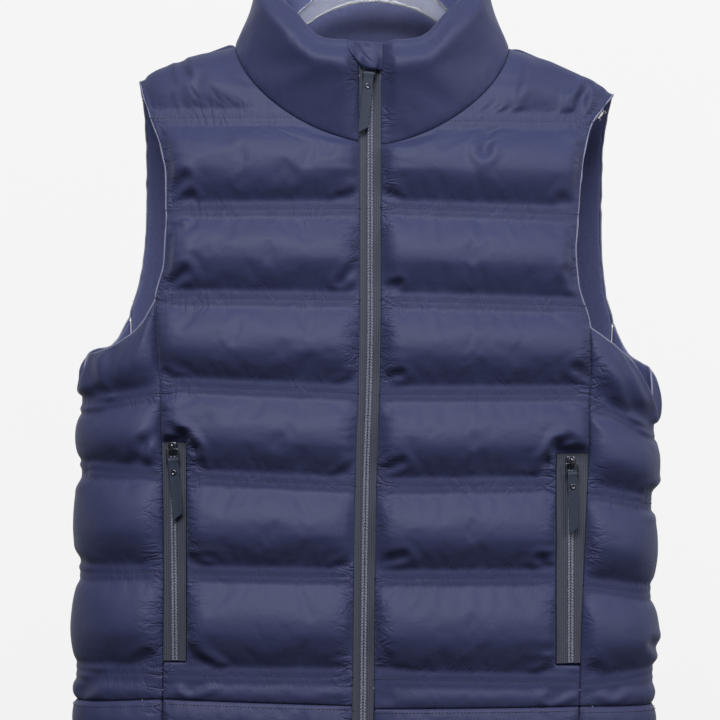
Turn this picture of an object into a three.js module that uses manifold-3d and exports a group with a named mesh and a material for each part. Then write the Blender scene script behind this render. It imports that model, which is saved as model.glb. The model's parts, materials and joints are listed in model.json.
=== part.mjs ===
// A navy puffer vest that hangs on a clear clothes hanger.
// Millimetres. X runs to the wearer's left, Y to the back and Z up.
// The origin is the point where the hanger's hook rests on its rail.
import * as THREE from "three";
import { mergeVertices } from "three/addons/utils/BufferGeometryUtils.js";
import Module from "manifold-3d";

const wasm = await Module();
wasm.setup();

// Sizes that drive the garment.
const SIDES = [
  { name: "right", sign: -1 },
  { name: "left", sign: 1 },
];
const CLOTH = 2.4; // thickness where two layers and a seam allowance are pressed flat
const SEAM_GAP = 0.3; // each piece keeps half of this from a seam line
const LOFT = 15; // how far a filled channel stands out of its flat seams
const YOKE_LOFT = 11;
const HEM_LOFT = 9;
const HEM_CASING_LOFT = 4;
const SIDE_PANEL_WIDTH = 180;
const FULL_CHANNEL = 62; // a lower channel holds less filling
const BAND = 10; // height of the flat bonded band between two channels
const SHOULDER_THICKNESS = 8; // the wall along the shoulder seam, which is less pressed
const HEM_Z = -800;
const NECK_DROP_FRONT = 95;
const NECK_DROP_BACK = 22;
const NECK_POWER = 1.65;
const ZIP_HALF = 9.7; // half of the front zip, coil and both tapes
const NECK_WAY = 0.575; // share of the back's half width that the collar is sewn to
const COLLAR_LOFT = 15;
const COLLAR_INSIDE = 4; // how far the collar's lining bulges towards the neck

// The hollow that the cloth stands round: a squared oval, wider than deep.
const BODY_POWER = 2.6;
const BODY_WIDTHS = [
  { z: -820, centreX: -9, half: 270.5 },
  { z: -720, centreX: -8.5, half: 269 },
  { z: -640, centreX: -8, half: 266.5 },
  { z: -500, centreX: -5.3, half: 268 },
  { z: -150, centreX: -5.3, half: 268 },
];
const BODY_DEPTHS = [
  { z: -820, front: 80, back: 70 },
  { z: -620, front: 82, back: 72 },
  { z: -450, front: 80, back: 74 },
  { z: -300, front: 70, back: 68 },
  { z: -150, front: 60, back: 58 },
];
const SHOULDER_ROUND = { height: 150, power: 2.2 };

// Each shoulder's inner line, from the neck to the tip.
const SHOULDERS = {
  right: { neckX: -130, neckZ: -150, tipX: -221, tipZ: -184 },
  left: { neckX: 127, neckZ: -152, tipX: 226, tipZ: -196 },
};

// The front zip's centre line leans a little as the vest hangs.
const ZIP_LINE = [
  { z: -810, x: -10.6 },
  { z: -760, x: -10.1 },
  { z: -575, x: -7.8 },
  { z: -410, x: -3.5 },
  { z: -100, x: -3.5 },
];

// The front panels' outer edge: the side front seam, then the armhole up to the shoulder.
const FRONT_EDGE = {
  right: [
    { z: -810, x: -196 },
    { z: -630, x: -195 },
    { z: -464, x: -198 },
    { z: -391, x: -203 },
    { z: -356, x: -195 },
    { z: -312, x: -193 },
    { z: -280, x: -193 },
    { z: -251, x: -197.5 },
    { z: -219, x: -209 },
    { z: -184, x: -221 },
  ],
  left: [
    { z: -810, x: 189 },
    { z: -668, x: 193.5 },
    { z: -502, x: 200 },
    { z: -416, x: 201 },
    { z: -375, x: 190 },
    { z: -345, x: 188 },
    { z: -300, x: 191 },
    { z: -258, x: 195.5 },
    { z: -228, x: 203 },
    { z: -196, x: 226 },
  ],
};

// The back panel's outer edges: the side back seam, then the armhole up to the shoulder.
const BACK_EDGE = {
  right: [
    { z: -810, x: -222 },
    { z: -560, x: -224 },
    { z: -405, x: -233 },
    { z: -369, x: -224 },
    { z: -320, x: -218 },
    { z: -240, x: -217 },
    { z: -184, x: -221 },
  ],
  left: [
    { z: -810, x: 210 },
    { z: -560, x: 214 },
    { z: -411, x: 229 },
    { z: -380, x: 222 },
    { z: -320, x: 218 },
    { z: -240, x: 219 },
    { z: -196, x: 226 },
  ],
};

// The underarm edge of each side panel, by its share of the way from the front seam to the back
// seam. It dips sharply where the panel is folded under the arm.
const UNDERARM = {
  right: [
    { way: 0, z: -391 },
    { way: 0.1, z: -416 },
    { way: 0.2, z: -428 },
    { way: 0.33, z: -437.5 },
    { way: 0.44, z: -442 },
    { way: 0.52, z: -476 },
    { way: 0.62, z: -457 },
    { way: 0.74, z: -438 },
    { way: 0.88, z: -433 },
    { way: 1, z: -405 },
  ],
  left: [
    { way: 0, z: -416 },
    { way: 0.14, z: -431 },
    { way: 0.285, z: -448 },
    { way: 0.363, z: -464 },
    { way: 0.44, z: -483 },
    { way: 0.52, z: -502 },
    { way: 0.58, z: -470 },
    { way: 0.66, z: -456 },
    { way: 0.76, z: -450 },
    { way: 0.88, z: -441 },
    { way: 1, z: -411 },
  ],
};
// The side panels are drawn flatter and squarer at the sides than at their seams.
const SIDE_FULLNESS = [
  { way: 0, share: 1 },
  { way: 0.2, share: 1 },
  { way: 0.44, share: 0.52 },
  { way: 0.6, share: 0.52 },
  { way: 0.86, share: 0.9 },
  { way: 1, share: 1 },
];

// Middle heights of the flat bands on the front panels, at the zip and at the outer edge.
const FRONT_BANDS = {
  right: [
    { zip: -736, edge: -735 },
    { zip: -643.5, edge: -641 },
    { zip: -559, edge: -551 },
    { zip: -474, edge: -466.5 },
    { zip: -388, edge: -385.5 },
    { zip: -303, edge: -304 },
    { zip: -218, edge: -218 },
  ],
  left: [
    { zip: -738, edge: -742 },
    { zip: -645, edge: -645 },
    { zip: -560, edge: -558.5 },
    { zip: -475, edge: -474.5 },
    { zip: -388, edge: -393 },
    { zip: -302, edge: -308 },
    { zip: -221.5, edge: -221.5 },
  ],
};
// The same on the side panels, at the front seam, under the arm and at the back seam.
const SIDE_BANDS = {
  right: [
    { front: -733, side: -736, back: -736 },
    { front: -640, side: -643, back: -642 },
    { front: -549, side: -546, back: -553 },
    { front: -474, side: -486, back: -472 },
  ],
  left: [
    { front: -745, side: -739, back: -738 },
    { front: -652, side: -663, back: -645 },
    { front: -566, side: -579, back: -560 },
    { front: -483, side: -512, back: -476 },
  ],
};
const BACK_BANDS = [-736, -643, -557, -472, -387, -303, -219];
const HEM_SEAM = {
  right: { zip: -766, edge: -761, side: -766, back: -764 },
  left: { zip: -769, edge: -768, side: -770, back: -764 },
};
const HEM_STITCH = SEAM_GAP / 2; // the hem casing and the panels each stop this far from their seam

// Pocket openings between the front and side panels.
const POCKETS = {
  right: {
    top: -520,
    bottom: -728,
    inner: -173.5,
    coilX: -186,
    lean: 2,
    sliderZ: -528,
    pullLean: -5.5,
    rowSteps: { 1: [0.03], 3: [0.33, 0.365] },
  },
  left: {
    top: -530,
    bottom: -730.5,
    inner: 168.5,
    coilX: 182,
    lean: 0,
    sliderZ: -541,
    pullLean: -2,
    rowSteps: { 1: [0.055, 0.09], 3: [0.3, 0.335] },
  },
};

const POCKET_END = 3; // the tape stops this far inside each end of its opening

// Large folds that a maker would see from across the room. Depth is along the cloth's normal,
// and below zero it is a trough.
const FOLDS = {
  front_right: [
    { x: -183, z: -512, toX: -165, toZ: -548, width: 7, depth: -7 },
    { x: -190, z: -744, toX: -150, toZ: -722, width: 6, depth: -6 },
    { x: -20, z: -385, toX: -34, toZ: -404, width: 7, depth: -5 },
  ],
  front_left: [
    { x: 121, z: -170, toX: 104, toZ: -246, width: 6, depth: -7 },
    { x: 133, z: -166, toX: 120, toZ: -214, width: 5, depth: -6 },
    { x: 190, z: -200, toX: 184, toZ: -238, width: 6, depth: -7 },
    { x: 178, z: -524, toX: 148, toZ: -545, width: 7, depth: -7 },
    { x: 186, z: -746, toX: 148, toZ: -766, width: 7, depth: -7 },
  ],
  side_right: [{ x: -232, z: -487, toX: -262, toZ: -494, width: 7, depth: -6 }],
  side_left: [
    { x: 226, z: -446, toX: 262, toZ: -500, width: 7, depth: -8 },
    { x: 242, z: -446, toX: 268, toZ: -486, width: 6, depth: -6 },
  ],
};

const HANGER = {
  archRadius: 102,
  archHalf: 62,
  apexZ: -106.6,
  centreX: 5.8,
  tilt: THREE.MathUtils.degToRad(1.5),
  edgeDepth: 5,
  wallDepth: 1.8,
  rim: 2.6,
};
const HANGER_TOP = [
  { x: 0, z: -80 },
  { x: 16, z: -81 },
  { x: 38, z: -91 },
  { x: 57, z: -104 },
  { x: 71, z: -117 },
  { x: 100, z: -141.5 },
  { x: 128, z: -159 },
  { x: 170, z: -180 },
  { x: 208, z: -199 },
  { x: 219, z: -206 },
];
const HANGER_BOTTOM_AT = { neck: { x: 128, z: -172 }, tip: { x: 214, z: -213 } };
const HOOK = { wire: 1.9, radius: 21, stemFoot: -77.5, stemTop: -50, stemX: 4 };

// Zip tapes, coils, sliders and their pulls. Each is measured out from the cloth's lining.
const TAPE = { back: 0.5, front: 1.6 };
const COIL = { half: 4.3, back: 1.9, front: 3, crown: 0.7 };
const SLIDER = { width: 8.6, length: 12, base: 2.4 };
const BRIDGE = { width: 2.2, windowOut: 2.8, windowHalf: 2.5, wall: 1, foot: 4.8 };
const PIVOT = { out: 4.3, z: -1 };
const BAIL = { wire: 0.7, half: 5.6, drop: 9.5, corner: 1.6 };
const STRAP = {
  width: 9.4,
  length: 53.5,
  thick: 2.4,
  slant: 6.5,
  lead: 0.4, // the strap hangs this far in front of its pivot
  eye: 1.15,
  eyeWall: 1.15,
  rivet: 2.8,
  rivetThick: 0.9,
  rivetDown: 12,
};
const FRONT_SLIDER = { z: -169.8, pullLean: 6 };
const GARAGE = { half: 9.2, height: 8, thick: 2.4, out: 1.4, topZ: -154.5 };

// Small helpers.
const clamp01 = (t) => Math.min(1, Math.max(0, t));
const mix = (a, b, t) => a + (b - a) * t;
const vec = (x, y, z) => new THREE.Vector3(x, y, z);

// A smooth curve through a table's rows that never overshoots them.
function smoothTable(rows, key, column) {
  const sorted = [...rows].sort((a, b) => a[key] - b[key]);
  const ks = sorted.map((r) => r[key]);
  const vs = sorted.map((r) => r[column]);
  const slopes = ks.slice(1).map((k, i) => (vs[i + 1] - vs[i]) / (k - ks[i]));
  const tangents = ks.map((_, i) => {
    if (i === 0) return slopes[0];
    if (i === ks.length - 1) return slopes[i - 1];
    const [a, b] = [slopes[i - 1], slopes[i]];
    return a * b <= 0 ? 0 : (2 * a * b) / (a + b);
  });
  return (at) => {
    if (at <= ks[0]) return vs[0] + slopes[0] * (at - ks[0]);
    const last = ks.length - 1;
    if (at >= ks[last]) return vs[last] + slopes[last - 1] * (at - ks[last]);
    const i = ks.findIndex((k, n) => n < last && at <= ks[n + 1]);
    const span = ks[i + 1] - ks[i];
    const t = (at - ks[i]) / span;
    const rise = t * t * (3 - 2 * t);
    return (
      mix(vs[i], vs[i + 1], rise) +
      span * tangents[i] * t * (1 - t) * (1 - t) -
      span * tangents[i + 1] * t * t * (1 - t)
    );
  };
}

const zipX = smoothTable(ZIP_LINE, "z", "x");
const depthFront = smoothTable(BODY_DEPTHS, "z", "front");
const depthBack = smoothTable(BODY_DEPTHS, "z", "back");
const bodyCentre = smoothTable(BODY_WIDTHS, "z", "centreX");
const bodyHalf = smoothTable(BODY_WIDTHS, "z", "half");
const sideFullness = smoothTable(SIDE_FULLNESS, "way", "share");
const frontEdgeX = {};
const backEdgeX = {};
const underarmZ = {};
for (const { name } of SIDES) {
  frontEdgeX[name] = smoothTable(FRONT_EDGE[name], "z", "x");
  backEdgeX[name] = smoothTable(BACK_EDGE[name], "z", "x");
  underarmZ[name] = smoothTable(UNDERARM[name], "way", "z");
}

// The body's hollow.

// Height of the shoulder ridge over x, carried on over the neck so that the form stays smooth there.
function ridgeOf(side, x) {
  const { neckX, neckZ, tipX, tipZ } = SHOULDERS[side];
  const slope = (neckZ - tipZ) / (tipX - neckX);
  const inside = 1 - x / neckX;
  if (inside <= 0) return neckZ + slope * (neckX - x);
  return neckZ + slope * neckX * inside * (1 - inside / 2);
}
function ridgeZ(x) {
  const blendHalf = 60;
  const t = clamp01((x + blendHalf) / (2 * blendHalf));
  const toLeft = t * t * (3 - 2 * t);
  return mix(ridgeOf("right", Math.min(x, 0)), ridgeOf("left", Math.max(x, 0)), toLeft);
}

// How far the hollow's front or back wall stands from the shoulder plane.
function depthAt(x, z, isFront) {
  const across = Math.min(1, Math.abs(x - bodyCentre(z)) / bodyHalf(z));
  const roll = Math.pow(1 - Math.pow(across, BODY_POWER), 1 / BODY_POWER);
  const below = clamp01((ridgeZ(x) - z) / SHOULDER_ROUND.height);
  const p = SHOULDER_ROUND.power;
  const dome = Math.pow(1 - Math.pow(1 - below, p), 1 / p);
  return (isFront ? depthFront(z) : depthBack(z)) * roll * dome;
}

// A point of the hollow's front or back wall, with the way out of it.
function wallPoint(x, z, isFront) {
  const facing = isFront ? -1 : 1;
  const step = 0.5;
  const top = ridgeZ(x) - 2;
  const zn = Math.min(z, top);
  const slopeX = (depthAt(x + step, zn, isFront) - depthAt(x - step, zn, isFront)) / (2 * step);
  const slopeZ = (depthAt(x, zn + step, isFront) - depthAt(x, zn - step, isFront)) / (2 * step);
  const y = facing * Math.max(depthAt(x, z, isFront), SEAM_GAP / 2);
  return { p: vec(x, y, z), n: vec(-slopeX, facing, -slopeZ).normalize() };
}

// A point round the side of the hollow, between the front seam and the back seam.
function sidePoint(side, way, z, gap = SEAM_GAP) {
  const { sign } = SIDES.find((s) => s.name === side);
  const power = 2 / BODY_POWER;
  const [centreX, half] = [bodyCentre(z), bodyHalf(z)];
  const angleOf = (x) => Math.asin(Math.pow(Math.min(1, Math.abs(x - centreX) / half), 1 / power));
  const from = angleOf(frontEdgeX[side](z) + (sign * gap) / 2);
  const to = Math.PI - angleOf(backEdgeX[side](z) + (sign * gap) / 2);
  const ring = (a) => {
    const depth = Math.cos(a) > 0 ? -depthFront(z) : depthBack(z);
    return vec(
      centreX + sign * half * Math.pow(Math.sin(a), power),
      depth * Math.pow(Math.abs(Math.cos(a)), power),
      z,
    );
  };
  const steps = 72;
  const points = Array.from({ length: steps + 1 }, (_, i) => ring(mix(from, to, i / steps)));
  const lengths = [0];
  for (let i = 1; i <= steps; i++) lengths.push(lengths[i - 1] + points[i].distanceTo(points[i - 1]));
  const wanted = way * lengths[steps];
  const i = Math.min(steps - 1, Math.max(0, lengths.findIndex((l) => l >= wanted) - 1));
  const t = (wanted - lengths[i]) / (lengths[i + 1] - lengths[i]);
  const p = points[i].clone().lerp(points[i + 1], t);
  const along = points[i + 1].clone().sub(points[i]);
  return { p, n: vec(-along.y * -sign, along.x * -sign, 0).normalize() };
}

// The front neck seam: how far out it is at a height, and its height at a distance.
function neckX(side, z) {
  const { neckX: outer, neckZ } = SHOULDERS[side];
  const drop = clamp01((neckZ - z) / NECK_DROP_FRONT);
  return outer * Math.pow(1 - Math.pow(drop, NECK_POWER), 1 / NECK_POWER);
}
function backNeckZ(x) {
  const side = x < 0 ? "right" : "left";
  const { neckX: outer, neckZ } = SHOULDERS[side];
  const share = clamp01(Math.abs(x / outer));
  const middle = (SHOULDERS.right.neckZ + SHOULDERS.left.neckZ) / 2;
  return mix(middle, neckZ, share) - NECK_DROP_BACK * (1 - Math.pow(share, 2.5));
}

// Filled channels: full in their lower half, as the filling sinks, and pulled in at their ends.
const channelProfile = (up) => {
  const along = Math.sin(Math.PI * Math.pow(clamp01(up), 0.8));
  return Math.pow(Math.max(0, along), 0.6 + 0.5 * clamp01(up));
};
const pinch = (distance, reach) => {
  const t = clamp01(distance / reach);
  return Math.sqrt(1 - (1 - t) * (1 - t));
};
const softPinch = (distance, reach) => {
  const t = clamp01(distance / reach);
  return t * t * (3 - 2 * t);
};
const END_REACH = 24;
const NECK_REACH = 40;

function foldDepth(panel, x, z) {
  let sum = 0;
  for (const f of FOLDS[panel] || []) {
    const [dx, dz] = [f.toX - f.x, f.toZ - f.z];
    const t = clamp01(((x - f.x) * dx + (z - f.z) * dz) / (dx * dx + dz * dz));
    const away = Math.hypot(x - f.x - t * dx, z - f.z - t * dz);
    sum += f.depth * Math.exp(-((away / f.width) ** 2));
  }
  return sum;
}

// Solids from grids.

class SolidBuilder {
  constructor() {
    this.points = [];
    this.faces = [];
  }
  add(p) {
    this.points.push(p.x, p.y, p.z);
    return this.points.length / 3 - 1;
  }
  grid(rows, flip) {
    for (let i = 0; i + 1 < rows.length; i++) {
      for (let j = 0; j + 1 < rows[i].length; j++) {
        const [a, b, c, d] = [rows[i][j], rows[i][j + 1], rows[i + 1][j + 1], rows[i + 1][j]];
        this.faces.push(...(flip ? [a, c, b, a, d, c] : [a, b, c, a, c, d]));
      }
    }
  }
  // Joins two lines of points that run the same way, whatever their counts.
  bridge(first, second, flip) {
    const share = (line) => {
      const at = line.map((k) => vec(...this.points.slice(3 * k, 3 * k + 3)));
      const sums = [0];
      for (let i = 1; i < at.length; i++) sums.push(sums[i - 1] + at[i].distanceTo(at[i - 1]));
      return sums.map((s) => s / sums[sums.length - 1]);
    };
    const [sa, sb] = [share(first), share(second)];
    let [i, j] = [0, 0];
    while (i + 1 < first.length || j + 1 < second.length) {
      const stepFirst = j + 1 >= second.length || (i + 1 < first.length && sa[i + 1] <= sb[j + 1]);
      const face = stepFirst
        ? [first[i], first[i + 1], second[j]]
        : [first[i], second[j + 1], second[j]];
      this.faces.push(...(flip ? [face[0], face[2], face[1]] : face));
      if (stepFirst) i++;
      else j++;
    }
  }
  geometry() {
    const g = new THREE.BufferGeometry();
    g.setAttribute("position", new THREE.Float32BufferAttribute(this.points, 3));
    g.setIndex(this.faces);
    g.computeVertexNormals();
    return g;
  }
}

// A cloth wall: a fine outer grid and a plain, coarser inner one, closed round the edge.
// outward is +1 where the columns run to the outer face's right hand, and -1 where they run to its left.
function wallSolid(outer, inner, outward) {
  const b = new SolidBuilder();
  const o = outer.map((row) => row.map((p) => b.add(p)));
  const n = inner.map((row) => row.map((p) => b.add(p)));
  const flip = outward < 0;
  b.grid(o, flip);
  b.grid(n, !flip);
  const column = (rows, last) => rows.map((row) => row[last ? row.length - 1 : 0]);
  b.bridge(o[0], n[0], !flip);
  b.bridge(o[o.length - 1], n[n.length - 1], flip);
  b.bridge(column(o, false), column(n, false), flip);
  b.bridge(column(o, true), column(n, true), !flip);
  return b.geometry();
}

// A tube of any closed section swept through given frames, with flat ends or joined to itself.
function sweptSolid(sections, isRing = false) {
  const b = new SolidBuilder();
  const rows = sections.map((s) => {
    const row = s.map((p) => b.add(p));
    return [...row, row[0]];
  });
  b.grid(isRing ? [...rows, rows[0]] : rows, false);
  if (!isRing) {
    const count = sections[0].length;
    for (let k = 0; k + 1 < count - 1 - k; k++) {
      const [a, c] = [k + 1, count - 2 - k];
      for (const [row, flip] of [[rows[0], false], [rows[rows.length - 1], true]]) {
        const ladder = [[row[k], row[count - 1 - k], row[a]]];
        if (a < c) ladder.push([row[a], row[count - 1 - k], row[c]]);
        for (const [x, y, z] of ladder) b.faces.push(...(flip ? [x, z, y] : [x, y, z]));
      }
    }
  }
  return b.geometry();
}

// Several solids made one.
function joined(...geometries) {
  const solids = geometries.map((g) => {
    const bare = new THREE.BufferGeometry();
    bare.setAttribute("position", g.getAttribute("position"));
    bare.setIndex(g.index);
    const merged = facingOut(mergeVertices(bare, 1e-4));
    const triVerts = Uint32Array.from(merged.index.array);
    const vertProperties = Float32Array.from(merged.getAttribute("position").array);
    return new wasm.Manifold(new wasm.Mesh({ numProp: 3, vertProperties, triVerts }));
  });
  const { vertProperties, triVerts } = solids.reduce((a, b) => a.add(b)).getMesh();
  const g = new THREE.BufferGeometry();
  g.setAttribute("position", new THREE.BufferAttribute(vertProperties, 3));
  g.setIndex(new THREE.BufferAttribute(triVerts, 1));
  g.computeVertexNormals();
  return g;
}

// Turns a geometry's faces round if they point inwards.
function facingOut(given) {
  const geometry = given.index ? given : mergeVertices(given, 1e-4);
  const [p, index] = [geometry.getAttribute("position"), geometry.index];
  const at = (k) => vec().fromBufferAttribute(p, index.getX(k));
  let volume = 0;
  for (let k = 0; k < index.count; k += 3) volume += at(k).dot(at(k + 1).cross(at(k + 2)));
  if (volume < 0) {
    for (let k = 0; k < index.count; k += 3) {
      const keep = index.getX(k + 1);
      index.setX(k + 1, index.getX(k + 2));
      index.setX(k + 2, keep);
    }
  }
  return geometry;
}

// Colours and finishes.
const finish = (color, roughness, metalness = 0) =>
  new THREE.MeshStandardMaterial({ color, roughness, metalness, side: THREE.FrontSide });
const NAVY_TAFFETA = finish(0x3b3f5f, 0.55);
const BINDING_GREY = finish(0x8d90a3, 0.6);
const ZIP_TAPE = finish(0x4a4c58, 0.8);
const ZIP_COIL = finish(0x5a5d6a, 0.5);
const GUNMETAL = finish(0x5b5d66, 0.35, 0.9);
const SLATE_RUBBER = finish(0x3f5374, 0.7);
const CLEAR_PLASTIC = finish(0xd8dde0, 0.1);
const STEEL = finish(0xb8babd, 0.25, 1);

const vest = new THREE.Group();
vest.name = "puffer_vest";
function addTo(group, name, geometry, material) {
  const mesh = new THREE.Mesh(facingOut(geometry), material);
  mesh.name = name;
  group.add(mesh);
  return mesh;
}
function addMesh(name, geometry, material, place = vec(0, 0, 0)) {
  addTo(vest, name, geometry, material).position.copy(place);
}

// Rows of a panel, from bottom to top. A row knows its height by the way across it, how full
// its channel is there, and how near it is to the shoulder seam.
const CHANNEL_STEPS = [0, 0.07, 0.24, 0.46, 0.7, 0.92, 1];
const INNER_STEPS = [0, 0.46, 1];
function channelRows(lower, upper, loft, { extra = [], isYoke = false, isFine = false } = {}) {
  const steps = [...CHANNEL_STEPS, ...extra].sort((a, b) => a - b);
  const fill = (way) => Math.min(1, (upper(way) - lower(way)) / FULL_CHANNEL);
  return steps.map((up) => ({
    height: (way) => mix(lower(way), upper(way), up),
    puff: (way) => loft * channelProfile(up) * fill(way),
    shoulder: isYoke ? clamp01((up - 0.6) / 0.4) : 0,
    inner: isFine || INNER_STEPS.includes(up),
  }));
}

// Channels between bands, from the hem seam to the panel's top edge.
function panelRows(hemSeam, bands, top, options = {}) {
  const { extraRows = {}, isYoke = false, fine = [] } = options;
  const rows = [];
  let floor = (way) => hemSeam(way) + HEM_STITCH;
  const last = bands.length;
  for (let k = 0; k <= last; k++) {
    const isTop = k === last;
    const ceiling = isTop ? top : (way) => bands[k](way) - BAND / 2;
    const loft = isTop && isYoke ? YOKE_LOFT : k === 0 ? HEM_LOFT : LOFT;
    const settings = { extra: extraRows[k], isYoke: isTop && isYoke, isFine: fine.includes(k) };
    rows.push(...channelRows(floor, ceiling, loft, settings));
    floor = isTop ? floor : (way) => bands[k](way) + BAND / 2;
  }
  return rows;
}

// Rows of a hem casing, below the hem seam.
function hemRows(hemSeam) {
  return [0, 0.2, 0.5, 0.85, 1].map((up) => ({
    height: (way) => mix(HEM_Z, hemSeam(way) - HEM_STITCH, up),
    puff: () => HEM_CASING_LOFT * Math.max(0, Math.sin(Math.PI * up)),
    shoulder: 0,
    inner: up === 0 || up === 0.5 || up === 1,
  }));
}

const FRONT_COLUMNS = [0, 0.035, 0.1, 0.24, 0.42, 0.6, 0.78, 0.9, 0.965, 1];
const SIDE_COLUMNS = [0, 0.06, 0.17, 0.3, 0.42, 0.52, 0.62, 0.76, 0.92, 1];
const HALF_BACK_COLUMNS = [0.19, 0.38, 0.574, 0.7, 0.82, 0.92, 0.975, 1];
const everyOther = (row) => row.filter((_, j) => j % 2 === 0 || j === row.length - 1);

// Cloth thickness at a place: flat at its edges and bands, and full between them.
function clothThickness(row, puff, ends, crease) {
  const seam = CLOTH + (SHOULDER_THICKNESS - CLOTH) * row.shoulder * ends;
  const creased = puff > 1 ? crease * ends : 0;
  return Math.max(seam, seam + puff * ends + creased);
}

// A front panel, or its hem casing, between the zip and its outer edge.
function frontGrid(side, rows, isHem) {
  const { sign } = SIDES.find((s) => s.name === side);
  const pocket = POCKETS[side];
  const neckBottom = SHOULDERS[side].neckZ - NECK_DROP_FRONT;
  const grids = { outer: [], inner: [], neckEdge: [] };
  for (const row of rows) {
    const [zIn, zOut] = [row.height(0), row.height(1)];
    const zipEdge = zipX(zIn) + sign * (ZIP_HALF + SEAM_GAP);
    const neck = zIn > neckBottom ? neckX(side, zIn) : 0;
    const atNeck = sign * neck > sign * zipEdge;
    const xIn = atNeck ? neck : zipEdge;
    const stepsIn = !isHem && zOut < pocket.top && zOut > pocket.bottom;
    const xOut = stepsIn ? pocket.inner : frontEdgeX[side](zOut) - (sign * SEAM_GAP) / 2;
    const made = FRONT_COLUMNS.map((way) => {
      const x = mix(xIn, xOut, way);
      const { p, n } = wallPoint(x, row.height(way), true);
      const fromSeam = Math.abs(x - xIn);
      const inward = atNeck ? softPinch(fromSeam, NECK_REACH) : pinch(fromSeam, END_REACH);
      const overPocket = Math.hypot(
        Math.max(0, sign * (pocket.inner - x)),
        Math.max(0, p.z - pocket.top, pocket.bottom - p.z),
      );
      const outward = pinch(Math.min(Math.abs(x - xOut), isHem ? END_REACH : overPocket), END_REACH);
      const crease = foldDepth("front_" + side, x, p.z);
      const thick = clothThickness(row, row.puff(way), Math.min(inward, outward), crease);
      return { p, n, out: p.clone().addScaledVector(n, thick) };
    });
    grids.outer.push(made.map((m) => m.out));
    if (row.inner) grids.inner.push(everyOther(made.map((m) => m.p)));
    if (!atNeck) grids.neckEdge = [];
    grids.neckEdge.push(made[0]);
  }
  return grids;
}

function sideGrid(side, rows) {
  const grids = { outer: [], inner: [] };
  for (const row of rows) {
    const made = SIDE_COLUMNS.map((way) => {
      const { p, n } = sidePoint(side, way, row.height(way));
      const ends = pinch(Math.min(way, 1 - way) * SIDE_PANEL_WIDTH, END_REACH);
      const fullness = sideFullness(way);
      const puff = LOFT * fullness * Math.pow(row.puff(way) / LOFT, fullness);
      const thick = clothThickness(row, puff, ends, foldDepth("side_" + side, p.x, p.z));
      return { p, out: p.clone().addScaledVector(n, thick) };
    });
    grids.outer.push(made.map((m) => m.out));
    if (row.inner) grids.inner.push(everyOther(made.map((m) => m.p)));
  }
  return grids;
}

// The back, or its hem casing. A way below zero is on the wearer's right.
function backGrid(rows) {
  const ways = [...HALF_BACK_COLUMNS.map((w) => -w).reverse(), 0, ...HALF_BACK_COLUMNS];
  const grids = { outer: [], inner: [], neckEdge: [] };
  for (const row of rows) {
    const made = ways.map((way) => {
      const side = way < 0 ? "right" : "left";
      const { sign } = SIDES.find((s) => s.name === side);
      const edge = backEdgeX[side](row.height(way < 0 ? -1 : 1)) - (sign * SEAM_GAP) / 2;
      const x = Math.abs(way) * edge;
      const { p, n } = wallPoint(x, row.height(way), false);
      const nearNeck = row.shoulder > 0 && Math.abs(way) <= NECK_WAY;
      const toNeck = nearNeck ? NECK_REACH * (1 - row.shoulder) : NECK_REACH;
      const ends = Math.min(pinch(Math.abs(x - edge), END_REACH), softPinch(toNeck, NECK_REACH));
      const thick = clothThickness(row, row.puff(way), ends, 0);
      return { p, n, way, out: p.clone().addScaledVector(n, thick) };
    });
    grids.outer.push(made.map((m) => m.out));
    if (row.inner) grids.inner.push(made.map((m) => m.p));
    grids.neckEdge = made.filter((m) => Math.abs(m.way) <= NECK_WAY);
  }
  return grids;
}

function addPanels() {
  const neckEdges = {};
  for (const { name: side, sign } of SIDES) {
    const bands = FRONT_BANDS[side].map((b) => (way) => mix(b.zip, b.edge, way));
    const { neckZ, tipZ } = SHOULDERS[side];
    const hem = (way) => mix(HEM_SEAM[side].zip, HEM_SEAM[side].edge, way);
    const shoulderTop = (way) => mix(neckZ, tipZ, way);
    const fine = [1, 3, bands.length - 1, bands.length];
    const options = { isYoke: true, fine, extraRows: POCKETS[side].rowSteps };
    const front = frontGrid(side, panelRows(hem, bands, shoulderTop, options), false);
    addMesh("front_" + side, wallSolid(front.outer, front.inner, sign), NAVY_TAFFETA);
    neckEdges[side] = front.neckEdge;
    const casing = frontGrid(side, hemRows(hem), true);
    addMesh("hem_front_" + side, wallSolid(casing.outer, casing.inner, sign), NAVY_TAFFETA);

    const across = (b) => smoothTable(
      [{ way: 0, z: b.front }, { way: 0.5, z: b.side }, { way: 1, z: b.back }], "way", "z",
    );
    const seamRow = HEM_SEAM[side];
    const seam = across({ front: seamRow.edge, side: seamRow.side, back: seamRow.back });
    const sideBands = SIDE_BANDS[side].map(across);
    const panel = sideGrid(side, panelRows(seam, sideBands, underarmZ[side]));
    addMesh("side_" + side, wallSolid(panel.outer, panel.inner, sign), NAVY_TAFFETA);
    const sideCasing = sideGrid(side, hemRows(seam));
    addMesh("hem_side_" + side, wallSolid(sideCasing.outer, sideCasing.inner, sign), NAVY_TAFFETA);
  }

  const backBands = BACK_BANDS.map((z) => () => z);
  const backTop = (way) => {
    const side = way < 0 ? "right" : "left";
    const x = Math.abs(way) * SHOULDERS[side].tipX;
    return Math.abs(way) <= NECK_WAY ? backNeckZ(x) : ridgeZ(x);
  };
  const backHem = () => HEM_SEAM.right.back;
  const back = backGrid(panelRows(backHem, backBands, backTop, { isYoke: true }));
  addMesh("back", wallSolid(back.outer, back.inner, -1), NAVY_TAFFETA);
  neckEdges.back = back.neckEdge;
  const backCasing = backGrid(hemRows(backHem));
  addMesh("hem_back", wallSolid(backCasing.outer, backCasing.inner, -1), NAVY_TAFFETA);
  return neckEdges;
}

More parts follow.
